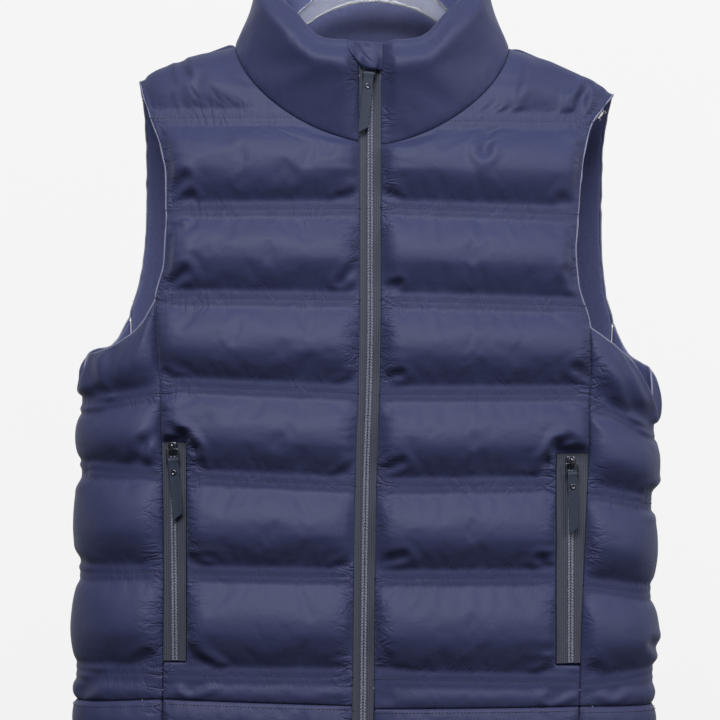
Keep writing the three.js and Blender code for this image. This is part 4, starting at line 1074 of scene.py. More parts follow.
def spread_group(name, material, bead_size, slant=0.0):
    """A node group that sets small rounded beads along lines: stitches, or the loops of a coil."""
    group = bpy.data.node_groups.new(name, "GeometryNodeTree")
    face = group.interface
    face.new_socket("Geometry", in_out="INPUT", socket_type="NodeSocketGeometry")
    pitch = face.new_socket("Pitch", in_out="INPUT", socket_type="NodeSocketFloat")
    face.new_socket("Geometry", in_out="OUTPUT", socket_type="NodeSocketGeometry")
    start = group.nodes.new("NodeGroupInput")
    end = group.nodes.new("NodeGroupOutput")
    curve = add_node(group, "GeometryNodeMeshToCurve", {"Mesh": start.outputs["Geometry"]})
    spaced = add_node(
        group,
        "GeometryNodeResampleCurve",
        {"Curve": curve.outputs["Curve"], "Length": start.outputs["Pitch"]},
        mode="LENGTH",
    )
    bead = add_node(group, "GeometryNodeMeshUVSphere", {"Segments": 6, "Rings": 5, "Radius": 1.0})
    shaped = add_node(
        group,
        "GeometryNodeTransform",
        {"Geometry": bead.outputs["Mesh"], "Rotation": (0, slant, 0), "Scale": bead_size},
    )
    tangent = group.nodes.new("GeometryNodeInputTangent")
    turned = add_node(
        group, "FunctionNodeAlignRotationToVector", {"Vector": tangent.outputs["Tangent"]}, axis="Z"
    )
    beads = add_node(
        group,
        "GeometryNodeInstanceOnPoints",
        {
            "Points": spaced.outputs["Curve"],
            "Instance": shaped.outputs["Geometry"],
            "Rotation": turned.outputs["Rotation"],
        },
    )
    real = add_node(group, "GeometryNodeRealizeInstances", {"Geometry": beads.outputs["Instances"]})
    smooth = add_node(group, "GeometryNodeSetShadeSmooth", {"Geometry": real.outputs["Geometry"]})
    coloured = add_node(
        group, "GeometryNodeSetMaterial", {"Geometry": smooth.outputs["Geometry"], "Material": material}
    )
    group.links.new(coloured.outputs["Geometry"], end.inputs["Geometry"])
    return group, pitch.identifier


def spread_along(name, lines, group, pitch_socket, pitch):
    """Runs a node group over lines of points and keeps what it makes as a plain mesh."""
    vertices, edges = [], []
    for line in lines:
        first = sum(len(v) for v in vertices)
        vertices.append(np.asarray(line))
        edges += [(first + k, first + k + 1) for k in range(len(line) - 1)]
    mesh = bpy.data.meshes.new(name + "_lines")
    mesh.from_pydata((np.vstack(vertices) * MM).tolist(), edges, [])
    guide = bpy.data.objects.new(name + "_lines", mesh)
    bpy.context.scene.collection.objects.link(guide)
    modifier = guide.modifiers.new("spread", "NODES")
    modifier.node_group = group
    modifier[pitch_socket] = pitch
    made = guide.evaluated_get(bpy.context.evaluated_depsgraph_get())
    piece = bpy.data.objects.new(name, bpy.data.meshes.new_from_object(made))
    bpy.data.objects.remove(guide)
    bpy.context.scene.collection.objects.link(piece)
    return piece


FILL_FRAMES = 14
FILL_CAP = 7  # the shell moves this far at most as it fills


def fill_with_down(patches):
    """Blows the shells up against their seams, all at once, with the cloth a little too long for them."""
    shells = [p["shell"].reshape(-1, 3) for p in patches]
    starts = np.concatenate([[0], np.cumsum([len(s) for s in shells])])
    faces = []
    for made, first in zip(patches, starts):
        faces += grid_faces(made["kept"], made["flip"], int(first)).tolist()
    cloth = new_object("filling", np.vstack(shells), faces, [])
    sewn = cloth.vertex_groups.new(name="sewn")
    fixed = np.concatenate([p["sewn"].ravel() for p in patches])
    sewn.add(np.flatnonzero(fixed).tolist(), 1.0, "REPLACE")
    settings = cloth.modifiers.new("fill", "CLOTH").settings
    settings.quality = 5
    settings.mass = 0.15
    settings.air_damping = 1
    settings.tension_stiffness = 15
    settings.compression_stiffness = 15
    settings.shear_stiffness = 5
    settings.bending_stiffness = 1.0
    settings.vertex_group_mass = "sewn"
    settings.use_pressure = True
    settings.uniform_pressure_force = 1.0
    settings.shrink_min = -0.006
    settings.effector_weights.gravity = 0
    scene = bpy.context.scene
    for step in range(1, FILL_FRAMES + 1):
        scene.frame_set(step)
    filled = cloth.evaluated_get(bpy.context.evaluated_depsgraph_get()).data
    moved = np.empty(len(filled.vertices) * 3)
    filled.vertices.foreach_get("co", moved)
    moved = moved.reshape(-1, 3) / MM
    scene.frame_set(1)
    bpy.data.objects.remove(cloth)
    shift = moved - np.vstack(shells)
    far = np.linalg.norm(shift, axis=1, keepdims=True)
    shift *= np.minimum(1, FILL_CAP / np.maximum(far, 1e-6))
    for made, first, shell in zip(patches, starts, shells):
        here = shift[first : first + len(shell)]
        made["shell"] = (shell + here).reshape(made["shell"].shape)


def add_node(tree, kind, inputs=None, **settings):
    """Adds a node, sets it up and links it. An input is given by its name or place in the list."""
    made = tree.nodes.new(kind)
    for name, value in settings.items():
        setattr(made, name, value)
    for name, value in (inputs or {}).items():
        socket = made.inputs[name]
        if isinstance(value, bpy.types.NodeSocket):
            tree.links.new(value, socket)
        else:
            socket.default_value = value
    return made


def new_material(name):
    material = bpy.data.materials.new(name)
    material.use_nodes = True
    tree = material.node_tree
    shader = tree.nodes["Principled BSDF"]
    place = tree.nodes.new("ShaderNodeTexCoord").outputs["Object"]
    return material, tree, shader, place


def shade(tree, base, dark, light, factor):
    """A colour that runs from a darker to a lighter cast of one colour."""
    ramp = add_node(tree, "ShaderNodeValToRGB", {"Fac": factor})
    ramp.color_ramp.elements[0].color = (*[c * dark for c in base], 1)
    ramp.color_ramp.elements[1].color = (*[c * light for c in base], 1)
    return ramp.outputs["Color"]


def noise(tree, place, scale, detail, **others):
    inputs = {"Vector": place, "Scale": scale, "Detail": detail}
    return add_node(tree, "ShaderNodeTexNoise", inputs | others).outputs["Fac"]


def math_of(tree, operation, *values):
    return add_node(tree, "ShaderNodeMath", dict(enumerate(values)), operation=operation).outputs["Value"]


def bumped(tree, height, strength, distance, under=None):
    """The normal of a surface with heights on it, over another such normal where one is given."""
    inputs = {"Height": height, "Strength": strength, "Distance": distance}
    if under is not None:
        inputs["Normal"] = under
    return add_node(tree, "ShaderNodeBump", inputs).outputs["Normal"]


def puckers(tree, place, stretch, mask, turn=0.0):
    """Sharp little creases in patches that run one way, as deep as their mask says."""
    laid = add_node(tree, "ShaderNodeMapping", {"Vector": place, "Scale": stretch, "Rotation": (0, turn, 0)})
    off = math_of(tree, "SUBTRACT", noise(tree, laid.outputs["Vector"], 1.0, 2.0, Distortion=0.9), 0.5)
    fold = math_of(tree, "ABSOLUTE", off)
    crisp = add_node(tree, "ShaderNodeMapRange", {"Value": fold, "From Max": 0.11})
    patches = {"Value": noise(tree, place, 26.0, 0.0), "From Min": 0.42, "From Max": 0.6, "To Min": 0.12}
    patchy = add_node(tree, "ShaderNodeMapRange", patches)
    deep = math_of(tree, "MULTIPLY", crisp.outputs["Result"], patchy.outputs["Result"])
    return math_of(tree, "MULTIPLY", deep, mask)


def taffeta(colour):
    """Woven nylon taffeta, calendered: a fine even weave with a soft sheen that creases crisply."""
    material, tree, shader, place = new_material("nylon_taffeta")
    tone = shade(tree, colour, 0.88, 1.12, noise(tree, place, 22.0, 3.0))
    drawn = add_node(tree, "ShaderNodeAttribute", attribute_name="drawn_up")
    masks = add_node(tree, "ShaderNodeSeparateXYZ", {"Vector": drawn.outputs["Vector"]})
    beside = puckers(tree, place, (45.0, 45.0, 105.0), masks.outputs["X"], 0.45)
    between = puckers(tree, place, (80.0, 60.0, 24.0), masks.outputs["Y"])
    both = math_of(tree, "MULTIPLY_ADD", between, 0.3, beside)
    crinkle = noise(tree, place, 75.0, 4.0, Roughness=0.55, Distortion=0.6)
    weave = noise(tree, place, 900.0, 1.0)
    creased = bumped(tree, both, 0.6, 0.002)
    coarse = bumped(tree, crinkle, 0.14, 0.004, creased)
    tree.links.new(tone, shader.inputs["Base Color"])
    tree.links.new(bumped(tree, weave, 0.12, 0.0005, coarse), shader.inputs["Normal"])
    shader.inputs["Roughness"].default_value = 0.6
    shader.inputs["Specular IOR Level"].default_value = 0.28
    shader.inputs["Sheen Weight"].default_value = 0.08
    shader.inputs["Sheen Roughness"].default_value = 0.5
    shader.inputs["Sheen Tint"].default_value = (0.6, 0.7, 1, 1)
    return material


def knitted_tape(colour):
    """Warp-knitted polyester zip tape, with its wales as fine upright ribs, whose light and shade are also
    painted into its colour.
    """
    material, tree, shader, place = new_material("knitted_zip_tape_painted_rib_shade")
    wales = {"Vector": place, "Scale": 150.0, "Distortion": 0.6, "Detail": 1.0}
    ribs = add_node(tree, "ShaderNodeTexWave", wales)
    both = math_of(tree, "MULTIPLY_ADD", noise(tree, place, 1100.0, 2.0), 0.5, ribs.outputs["Fac"])
    normal = bumped(tree, both, 0.6, 0.0006)
    # Painted shade and highlight: the colour is darker in the grooves between the wales and lighter on them,
    # with random tone from the fine noise.
    tree.links.new(shade(tree, colour, 0.6, 1.35, both), shader.inputs["Base Color"])
    tree.links.new(normal, shader.inputs["Normal"])
    shader.inputs["Roughness"].default_value = 0.8
    return material


def plain_cloth(name, colour, roughness, grain_scale, strength):
    """A small-grained cloth, cord or rubber: plain colour, fine grain and little shine."""
    material, tree, shader, place = new_material(name)
    grain = noise(tree, place, grain_scale, 3.0)
    tree.links.new(shade(tree, colour, 0.75, 1.3, grain), shader.inputs["Base Color"])
    tree.links.new(bumped(tree, grain, strength, 0.001), shader.inputs["Normal"])
    shader.inputs["Roughness"].default_value = roughness
    return material


def metal(name, colour, roughness):
    """Plated metal, tumbled smooth, with faint handling marks."""
    material, tree, shader, place = new_material(name)
    marks = noise(tree, place, 600.0, 4.0)
    worn = {"Value": marks, "To Min": roughness * 0.7, "To Max": roughness * 1.4}
    rough = add_node(tree, "ShaderNodeMapRange", worn)
    tree.links.new(rough.outputs["Result"], shader.inputs["Roughness"])
    shader.inputs["Base Color"].default_value = (*colour, 1)
    shader.inputs["Metallic"].default_value = 1
    return material


def clear_plastic():
    """Injection-moulded polystyrene: clear, hard and glossy."""
    material, tree, shader, place = new_material("clear_polystyrene")
    waves = noise(tree, place, 40.0, 1.0)
    tree.links.new(bumped(tree, waves, 0.1, 0.001), shader.inputs["Normal"])
    shader.inputs["Base Color"].default_value = (0.93, 0.95, 0.96, 1)
    shader.inputs["Roughness"].default_value = 0.06
    shader.inputs["IOR"].default_value = 1.55
    shader.inputs["Transmission Weight"].default_value = 0.9
    return material


def seamless_paper():
    """White background paper, lit from behind so that it stays even."""
    material, _, shader, _ = new_material("seamless_paper")
    shader.inputs["Base Color"].default_value = (0.15, 0.15, 0.15, 1)
    shader.inputs["Roughness"].default_value = 1
    shader.inputs["Specular IOR Level"].default_value = 0
    shader.inputs["Emission Color"].default_value = (1, 1, 1, 1)
    shader.inputs["Emission Strength"].default_value = 0.79
    return material


def length_of(name, description, metres):
    return bpy.props.FloatProperty(name=name, description=description, default=metres, unit="LENGTH")


def colour_of(name, description, text):
    return bpy.props.FloatVectorProperty(
        name=name, description=description, default=hex_colour(text), subtype="COLOR", min=0, max=1
    )


class VestSizes(bpy.types.PropertyGroup):
    front_step: bpy.props.FloatProperty(
        name="Front mesh step", description="Spacing of the fronts' mesh, in millimetres", default=3.5
    )
    back_step: bpy.props.FloatProperty(
        name="Back mesh step", description="Spacing of the other panels' mesh, in millimetres", default=5.2
    )
    stitch_pitch: length_of("Stitch pitch", "Distance from stitch to stitch", 0.0034)
    stitch_length: length_of("Stitch length", "Length of thread that shows in a stitch", 0.0022)
    coil_pitch: length_of("Coil pitch", "Distance from loop to loop of a coil", 0.0014)
    thread_radius: length_of("Thread radius", "Half of the sewing thread's thickness", 0.00035)


class VestColours(bpy.types.PropertyGroup):
    shell: colour_of("Shell", "Outer cloth", "#2F3456")
    lining: colour_of("Lining", "Inner cloth", "#4C527C")
    # The binding's light grey is a painted highlight: it stands for the glint along the armhole edge.
    binding: colour_of("Binding", "Armhole binding", "#74768E")
    tape: colour_of("Zip tape", "Knitted zip tape", "#363946")
    coil: colour_of("Zip coil", "Nylon coil", "#7C8092")
    strap: colour_of("Pull strap", "Rubber pull strap", "#1A2539")


made_materials = {}
cut_cloth = {}


def material_of(name):
    colours = bpy.context.scene.vest_colours
    makers = {
        "shell": lambda: taffeta(tuple(colours.shell)),
        "lining": lambda: plain_cloth("polyester_lining", tuple(colours.lining), 0.6, 300.0, 0.15),
        # Light grey binding colour: painted highlight for the glint along the armhole edge.
        "binding": lambda: plain_cloth("elastic_binding_painted_glint", tuple(colours.binding), 0.7, 900.0, 0.3),
        "thread": lambda: plain_cloth("sewing_thread", hex_colour("#1C1D2E"), 0.6, 2500.0, 0.3),
        "tape": lambda: knitted_tape(tuple(colours.tape)),
        "coil": lambda: plain_cloth("nylon_coil", tuple(colours.coil), 0.45, 1500.0, 0.1),
        "strap": lambda: plain_cloth("silicone_rubber", tuple(colours.strap), 0.62, 900.0, 0.12),
        "gunmetal": lambda: metal("gunmetal_plate", hex_colour("#5A5C66"), 0.3),
        "steel": lambda: metal("nickel_plated_steel", hex_colour("#C9CBCE"), 0.2),
        "clear": clear_plastic,
        "paper": seamless_paper,
        "floor": lambda: plain_cloth("studio_floor", hex_colour("#3A3A3C"), 0.9, 30.0, 0.0),
    }
    if name not in made_materials:
        made_materials[name] = makers[name]()
    return made_materials[name]


def subdivide(piece):
    modifier = piece.modifiers.new("smooth", "SUBSURF")
    modifier.levels = modifier.render_levels = 1


class VEST_OT_camera(bpy.types.Operator):
    """Stand the camera level in front of the vest, as in a catalogue"""

    bl_idname = "vest.camera"
    bl_label = "Camera"

    def execute(self, context):
        data = bpy.data.cameras.new("camera")
        data.sensor_width = 36
        data.lens = 36 * CAMERA["distance"] / CAMERA["view_width"]
        data.clip_end = 50
        camera = bpy.data.objects.new("camera", data)
        camera.location = Vector((CAMERA["x"], CAMERA["plane_y"] - CAMERA["distance"], CAMERA["z"])) * MM
        camera.rotation_euler = (math.radians(90), 0, 0)
        context.scene.collection.objects.link(camera)
        context.scene.camera = camera
        return {"FINISHED"}


CAMERA = {"x": -12.9, "z": -446.2, "plane_y": -97, "distance": 3200, "view_width": 662.4}


def soft_light(name, place, target, size, watts):
    data = bpy.data.lights.new(name, "AREA")
    data.shape = "RECTANGLE"
    data.size, data.size_y = size
    data.energy = watts
    light = bpy.data.objects.new(name, data)
    light.location = place
    light.rotation_euler = (Vector(target) - Vector(place)).to_track_quat("-Z", "Y").to_euler()
    bpy.context.scene.collection.objects.link(light)


class VEST_OT_stage(bpy.types.Operator):
    """Add the white paper, the floor and the soft lights"""

    bl_idname = "vest.stage"
    bl_label = "Stage"

    def execute(self, context):
        floor_z, wall_y, wall_top, half = -1350, 1500, 4000, 6000
        foot = [(-half, wall_y, floor_z), (half, wall_y, floor_z)]
        wall = foot + [(half, wall_y, wall_top), (-half, wall_y, wall_top)]
        new_object("paper", wall, [(0, 1, 2, 3)], [material_of("paper")])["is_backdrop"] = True
        floor = [(-half, -half, floor_z), (half, -half, floor_z)] + foot[::-1]
        new_object("floor", floor, [(0, 1, 2, 3)], [material_of("floor")])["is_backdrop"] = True
        soft_light("key", (-0.35, -2.3, 1.6), (0, 0, -0.45), (2.2, 1.3), 116)
        soft_light("fill", (2.3, -1.5, 0.7), (0.1, 0, -0.4), (1.2, 1.6), 38)
        world = bpy.data.worlds.new("studio")
        world.use_nodes = True
        world.node_tree.nodes["Background"].inputs["Color"].default_value = (0.95, 0.97, 1, 1)
        world.node_tree.nodes["Background"].inputs["Strength"].default_value = 0.13
        context.scene.world = world
        context.scene.view_settings.view_transform = "Standard"
        return {"FINISHED"}


class VEST_OT_padded_cloth(bpy.types.Operator):
    """Cut, sew and fill the fronts, sides, back, collar and hem casings"""

    bl_idname = "vest.padded_cloth"
    bl_label = "Padded cloth"

    def execute(self, context):
        sizes = context.scene.vest_sizes
        patches = []
        for side in SIGN:
            patches.append(front_patch(side, sizes.front_step))
            patches.append(side_patch(side, sizes.back_step))
            patches.append(front_patch(side, sizes.front_step, True))
            patches.append(side_patch(side, sizes.back_step, True))
        patches.append(back_patch(sizes.back_step))
        patches.append(back_patch(sizes.back_step, True))
        patches.append(collar_patch(sizes.back_step))
        fill_with_down(patches)
        cut_cloth.update({made["name"]: made for made in patches})
        for made in patches:
            vertices, faces, kinds, drawn = closed_piece(made)
            piece = new_object(
                "cloth_" + made["name"], vertices, faces, [material_of("shell"), material_of("lining")], kinds
            )
            attribute = piece.data.attributes.new("drawn_up", "FLOAT_VECTOR", "POINT")
            attribute.data.foreach_set("vector", drawn.ravel())
            subdivide(piece)
            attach(piece, "vest")
            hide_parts(made["name"])
        return {"FINISHED"}


def settle(piece, body, slot, *replaced):
    """Says which body a piece moves with and the solids that it stands in for; the finish's slot that it is
    given is not used.
    """
    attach(piece, body)
    if replaced:
        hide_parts(*replaced)


def lifted(made, rows, columns, out):
    """Points just off a patch's shell."""
    return made["shell"][rows, columns] + made["normal"][rows, columns] * out


BINDING = {"radius": 0.95, "step": 2.5}


def armhole_edge(side):
    """The edge of an armhole, from the shoulder down the front, under the arm and up the back."""
    front, panel, back = cut_cloth["front_" + side], cut_cloth["side_" + side], cut_cloth["back"]
    middle = lambda made, rows, columns: (made["shell"][rows, columns] + made["lining"][rows, columns]) / 2
    down = middle(front, slice(None), -1)[::-1]
    down = down[down[:, 2] > UNDERARM[side][0]["z"]]
    under = middle(panel, -1, slice(None))
    up = middle(back, slice(None), 0 if side == "right" else -1)
    up = up[up[:, 2] > UNDERARM[side][-1]["z"]]
    return resampled(np.vstack([down, under, up]), BINDING["step"])


class VEST_OT_binding(bpy.types.Operator):
    """Bind the armholes with a narrow elastic edging"""

    bl_idname = "vest.binding"
    bl_label = "Armhole binding"

    def execute(self, context):
        for side in SIGN:
            path = armhole_edge(side)
            run = np.arange(len(path)) * BINDING["step"]
            drawn = np.stack([wander(run / 9, 40 + k) for k in range(3)], axis=-1) * 0.5
            edging = tube(path + drawn, BINDING["radius"], 8)
            # Its light grey colour is a painted highlight for the glint along the edge.
            piece = new_object("binding_" + side, *edging, [material_of("binding")])
            settle(piece, "vest", "binding")
        return {"FINISHED"}


class VEST_OT_stitches(bpy.types.Operator):
    """Sew along the bands between the channels and along the hem casings"""

    bl_idname = "vest.stitches"
    bl_label = "Stitches"

    def execute(self, context):
        sizes = context.scene.vest_sizes
        lines = []
        for name, made in cut_cloth.items():
            for band in made.get("bands", []):
                there = np.append(made["kept"][band], True) | np.append(made["kept"][band - 1], True)
                columns = slice(0, len(there) if there.all() else int(there.argmin()))
                lines.append(lifted(made, band, columns, 0.25))
            if name.startswith("hem_"):
                lines.append(lifted(made, -2, slice(None), 0.2))
        group, socket = spread_group(
            "stitches",
            material_of("thread"),
            (sizes.thread_radius, sizes.thread_radius, sizes.stitch_length / 2),
        )
        piece = spread_along("stitches", lines, group, socket, sizes.stitch_pitch)
        settle(piece, "vest", "thread")
        return {"FINISHED"}


COIL_OUT = 2.4  # the coil's middle, out from the lining
COIL_ROW = 1.45  # from the zip's middle to the middle of each row of loops


def zip_line(side_shift, out, bottom, top, step=6):
    """A line down the front zip, out from the lining: it follows the cloth, then the collar."""
    z = np.linspace(bottom, top, round((top - bottom) / step) + 1)
    foot_z = SHOULDERS["right"]["neck_z"] - NECK_DROP_FRONT
    foot, _ = wall_point(zip_x(foot_z), foot_z, True)
    crown = COLLAR_TOP[0]
    on_body, _ = wall_point(zip_x(z), np.minimum(z, foot_z), True)
    slope = (crown["y"] - foot[..., 1]) / (crown["z"] - foot_z)
    y = np.where(z > foot_z, on_body[:, 1] + slope * (z - foot_z), on_body[:, 1])
    return np.stack([zip_x(z) + side_shift, y - out, z], axis=-1)


def pocket_line(x_of, out, bottom, top, step=6):
    """A line down a pocket's zip, out from the lining."""
    z = np.linspace(bottom, top, round((top - bottom) / step) + 1)
    p, n = wall_point(x_of(z), z, True)
    return p + n * out


class VEST_OT_coils(bpy.types.Operator):
    """Wind the nylon coils of the front zip and of the pocket zips"""

    bl_idname = "vest.coils"
    bl_label = "Zip coils"

    def execute(self, context):
        sizes = context.scene.vest_sizes
        groups = [
            spread_group("coil_" + name, material_of("coil"), (0.0016, 0.0006, 0.00052), math.radians(slant))
            for name, slant in (("right", 20), ("left", -20))
        ]
        front_top = PULLS["front"]["z"] - 6.5
        zips = {"zip_coil": lambda shift: zip_line(shift, COIL_OUT + 0.4, HEM_Z + 3, front_top)}
        for side, sign in SIGN.items():
            pocket = POCKETS[side]
            top = pocket["slider_z"] - 6.5

            def x_of(z, shift, pocket=pocket, sign=sign):
                down = (pocket["top"] - z) / (pocket["top"] - pocket["bottom"])
                return pocket["coil_x"] - sign * pocket["lean"] * down + shift

            zips["pocket_coil_" + side] = lambda shift, side=side, x_of=x_of, top=top: pocket_line(
                lambda z: x_of(z, shift), COIL_OUT, POCKETS[side]["bottom"] + 4, top
            )
        for node, line in zips.items():
            rows = []
            for (group, socket), shift in zip(groups, (-COIL_ROW, COIL_ROW)):
                rows.append(spread_along(node + "_row", [line(shift)], group, socket, sizes.coil_pitch))
            vertices, faces = [], []
            for row in rows:
                count = len(row.data.vertices)
                flat = np.empty(count * 3)
                row.data.vertices.foreach_get("co", flat)
                vertices.append(flat.reshape(-1, 3) / MM)
                faces.append([tuple(f.vertices) for f in row.data.polygons])
                bpy.data.objects.remove(row)
            points, made = put_together(zip(vertices, faces))
            piece = new_object("teeth_" + node, points, made, [material_of("coil")])
            settle(piece, "vest", "zip_coil", node)
        return {"FINISHED"}


def slider_seat(name):
    """Where a slider sits on its zip, and how far it is turned there."""
    z = PULLS[name]["z"]
    if name == "front":
        return zip_line(0, TAPE_OUT, z, z + 1)[0], 0.0
    side = name.split("_")[1]
    pocket = POCKETS[side]
    down = (pocket["top"] - z) / (pocket["top"] - pocket["bottom"])
    p, n = wall_point(pocket["coil_x"] - SIGN[side] * pocket["lean"] * down, z, True)
    return p + n * TAPE_OUT, math.atan2(n[0], -n[1])


def slider_parts():
    """A cast slider: a body that tapers to the bottom, its side flanges and the bridge over it."""
    half, long, base, bevel = SLIDER["width"] / 2, SLIDER["length"] / 2, SLIDER["base"], SLIDER["bevel"]
    right = [(0, long), (0.55, long - 0.1), (0.85, long - 0.7), (1, long - 2)]
    right += [(0.98, 1), (0.86, -2.5), (0.7, -long)]
    outline = [(half * x, z) for x, z in right] + [(-half * x, z) for x, z in right[:0:-1]]
    body = bevelled_plate(outline, 0.3, 0.3 + base, bevel)
    top = 0.3 + base
    groove = [(half * 0.55 * x, z * 0.8) for x, z in right]
    crown = bevelled_plate(groove + [(-x, z) for x, z in groove[:0:-1]], top - 0.5, top + 0.55, 0.4)
    high, foot = top + BRIDGE["top"], BRIDGE["foot"]
    arch = [(0, -(top - 0.6), foot), (0, -top - 0.8, foot), (0, -high + 0.9, foot - 0.8)]
    arch += [(0, -high, foot - 2.4), (0, -high, 0), (0, -high, -foot + 2.6)]
    arch += [(0, -high + 0.9, -foot + 0.9), (0, -top, -foot), (0, -top + 0.6, -foot)]
    flat = BRIDGE["thick"] / BRIDGE["width"]
    bridge = tube(resampled(arch, 0.7), BRIDGE["width"] / 2, 12, False, flat, (1, 0, 0))
    return put_together([body, crown, bridge])


def bail_parts():
    """The wire that hangs from the bridge: a bar above, one below and two legs that run on past it."""
    half, drop, corner, wire = BAIL["half"], BAIL["drop"], BAIL["corner"], BAIL["wire"]
    turn = np.radians(np.linspace(90, 0, 7))
    right = [(half - corner + corner * math.cos(a), -corner + corner * math.sin(a)) for a in turn]
    right += [(half, -drop), (half, -drop - BAIL["tail"])]
    path = [(-x, 0, z) for x, z in right[::-1]] + [(x, 0, z) for x, z in right]
    bar = [(-half, 0, -drop), (half, 0, -drop)]
    return put_together([tube(resampled(path, 0.8), wire, 12), tube(resampled(bar, 1.5), wire, 12)])


def strap_parts():
    """A band that goes down the front, folded over the bar and tucked behind itself."""
    layer, lead, drop = STRAP["layer"], STRAP["lead"], BAIL["drop"]
    reach = BAIL["wire"] + 0.25 + layer / 2
    back = [(reach * 0.55, -drop - STRAP["tuck"]), (reach * 0.7, -drop - 5)]
    turns = np.radians(np.linspace(-10, 190, 13))
    round_bar = [(reach * math.cos(a), -drop + reach * math.sin(a)) for a in turns]
    front = [(-lead - layer * 0.62, -drop - 4.5), (-lead - layer * 0.55, -drop - 9)]
    front += [(-lead - layer * 0.5, z) for z in np.linspace(-drop - 12, -drop - STRAP["length"], 12)]
    path = resampled(back + round_bar + front, 1.1)
    return strap_band(path, STRAP["width"], layer, -drop - STRAP["length"] + 9, STRAP["slant"])


def rivet_parts():
    """A pressed rivet: a rolled rim round a dished middle."""
    radius, thick, out = RIVET["radius"], RIVET["thick"], STRAP["lead"] + STRAP["layer"] + 0.05
    profile = [(0.01, out - 0.2), (radius * 0.86, out - 0.2), (radius, out + 0.15)]
    rim = [(0.97, 0.45), (0.85, 0.9), (0.68, 1), (0.54, 0.85), (0.42, 0.45), (0.2, 0.5)]
    profile += [(radius * near, out + up * thick) for near, up in rim] + [(0.01, out + 0.55 * thick)]
    points, faces = turned(profile)
    return points + (0, 0, -BAIL["drop"] - RIVET["down"]), faces


class VEST_OT_pulls(bpy.types.Operator):
    """Set the sliders on their zips, each with its wire, strap and rivet"""

    bl_idname = "vest.pulls"
    bl_label = "Sliders and pulls"

    def execute(self, context):
        parts = {
            "bail": (bail_parts(), "gunmetal", "zip_metal"),
            "strap": (strap_parts(), "strap", "pull_strap"),
            "rivet": (rivet_parts(), "gunmetal", "zip_metal"),
        }
        for name, pull in PULLS.items():
            seat, turn = slider_seat(name)
            points, faces = slider_parts()
            at = placed(points, seat, turn)
            slider = new_object(name + "_slider_cast", at, faces, [material_of("gunmetal")])
            settle(slider, "vest", "zip_metal", name + "_slider")
            for part, ((points, faces), finish, slot) in parts.items():
                at = placed(points, seat, turn, math.radians(pull["lean"]))
                piece = new_object(f"{name}_{part}_fine", at, faces, [material_of(finish)])
                settle(piece, name + "_pull", slot, f"{name}_{part}")
        return {"FINISHED"}


def front_of_collar(x, z):
    """How far forward the collar and the zip stand at places near the top of the zip."""
    shell = cut_cloth["collar"]["shell"].reshape(-1, 3)
    shell = shell[(shell[:, 1] < -20) & (np.abs(shell[:, 0]) < 60)]
    tape = zip_line(0, TAPE_OUT + 1, -185, -152, 2)
    tape = np.vstack([tape + (shift, 0, 0) for shift in (-8, -4, 0, 4, 8)])
    under = PULLS["front"]["z"]
    slider = zip_line(0, TAPE_OUT + SLIDER["base"] + BRIDGE["top"] + 1.2, under - 7, under + 5, 2)
    slider = np.vstack([slider + (shift, 0, 0) for shift in (-3, 0, 3)] * 4)
    known = np.vstack([shell, tape, slider])
    gap = (x[..., None] - known[:, 0]) ** 2 + (z[..., None] - known[:, 2]) ** 2
    weight = np.exp(-gap / 18) + 1e-12
    return (weight * known[:, 1]).sum(axis=-1) / weight.sum(axis=-1)


def soft_strip(centre, widths, thick, lift):
    """A folded strip of cloth along a line of x and z, lying on the collar."""
    centre = resampled([(x, 0, z) for x, z in centre], 1.6)[:, (0, 2)]
    along = unit(np.gradient(centre, axis=0))
    side = np.stack([-along[:, 1], along[:, 0]], axis=-1)
    share = np.linspace(0, 1, len(centre))
    width = np.interp(share, *zip(*widths)) / 2
    across = np.linspace(-1, 1, 13)
    flat = centre[:, None] + side[:, None] * (across[None, :, None] * width[:, None, None])
    y = front_of_collar(flat[..., 0], flat[..., 1]) - lift
    rise = thick * np.sqrt(np.maximum(0, 1 - np.abs(across) ** 3))
    crease = 0.35 * wander(share[:, None] * 9 + across * 1.5, 57)
    front = np.stack([flat[..., 0], y - rise * (1 + crease), flat[..., 1]], axis=-1)
    back = np.stack([flat[..., 0], y + 0.4, flat[..., 1]], axis=-1)
    rings = [np.vstack([f, b[::-1]]) for f, b in zip(front, back)]
    return ring_of_points(rings)


class VEST_OT_garage(bpy.types.Operator):
    """Fold the tab of shell cloth that the top of the zip closes into"""

    bl_idname = "vest.garage"
    bl_label = "Zip garage"

    def execute(self, context):
        down = np.linspace(0, 1, 22)
        columns = ("left", "right", "left_z", "right_z")
        column = {c: smooth_table(GARAGE_ROWS, "down", c)(down) for c in columns}
        across = np.linspace(0, 1, 24)
        x = mix(column["left"][:, None], column["right"][:, None], across)
        z = mix(column["left_z"][:, None], column["right_z"][:, None], across)
        y = front_of_collar(x, z) - 0.8
        from_foot = np.minimum((1 - down) * 8 + 0.2, 1)[:, None]
        edge = np.minimum(np.minimum(across, 1 - across) * 6, 1) * from_foot
        folds = 0.9 * wander(across * 7 - down[:, None] * 3, 31) * np.sin(math.pi * across)
        front = np.stack([x, y - 1.5 * np.sqrt(np.maximum(edge, 0)) - folds, z], axis=-1)
        back = np.stack([x, y + 0.8, z], axis=-1)
        tab = ring_of_points([np.vstack([f, b[::-1]]) for f, b in zip(front, back)])
        strip = soft_strip(GARAGE_STRIP, [(0, 7), (0.5, 9), (0.85, 7.5), (1, 5)], 1.3, 2.2)
        piece = new_object("garage_tab", *put_together([tab, strip]), [material_of("shell")])
        settle(piece, "vest", "shell", "zip_garage")
        return {"FINISHED"}


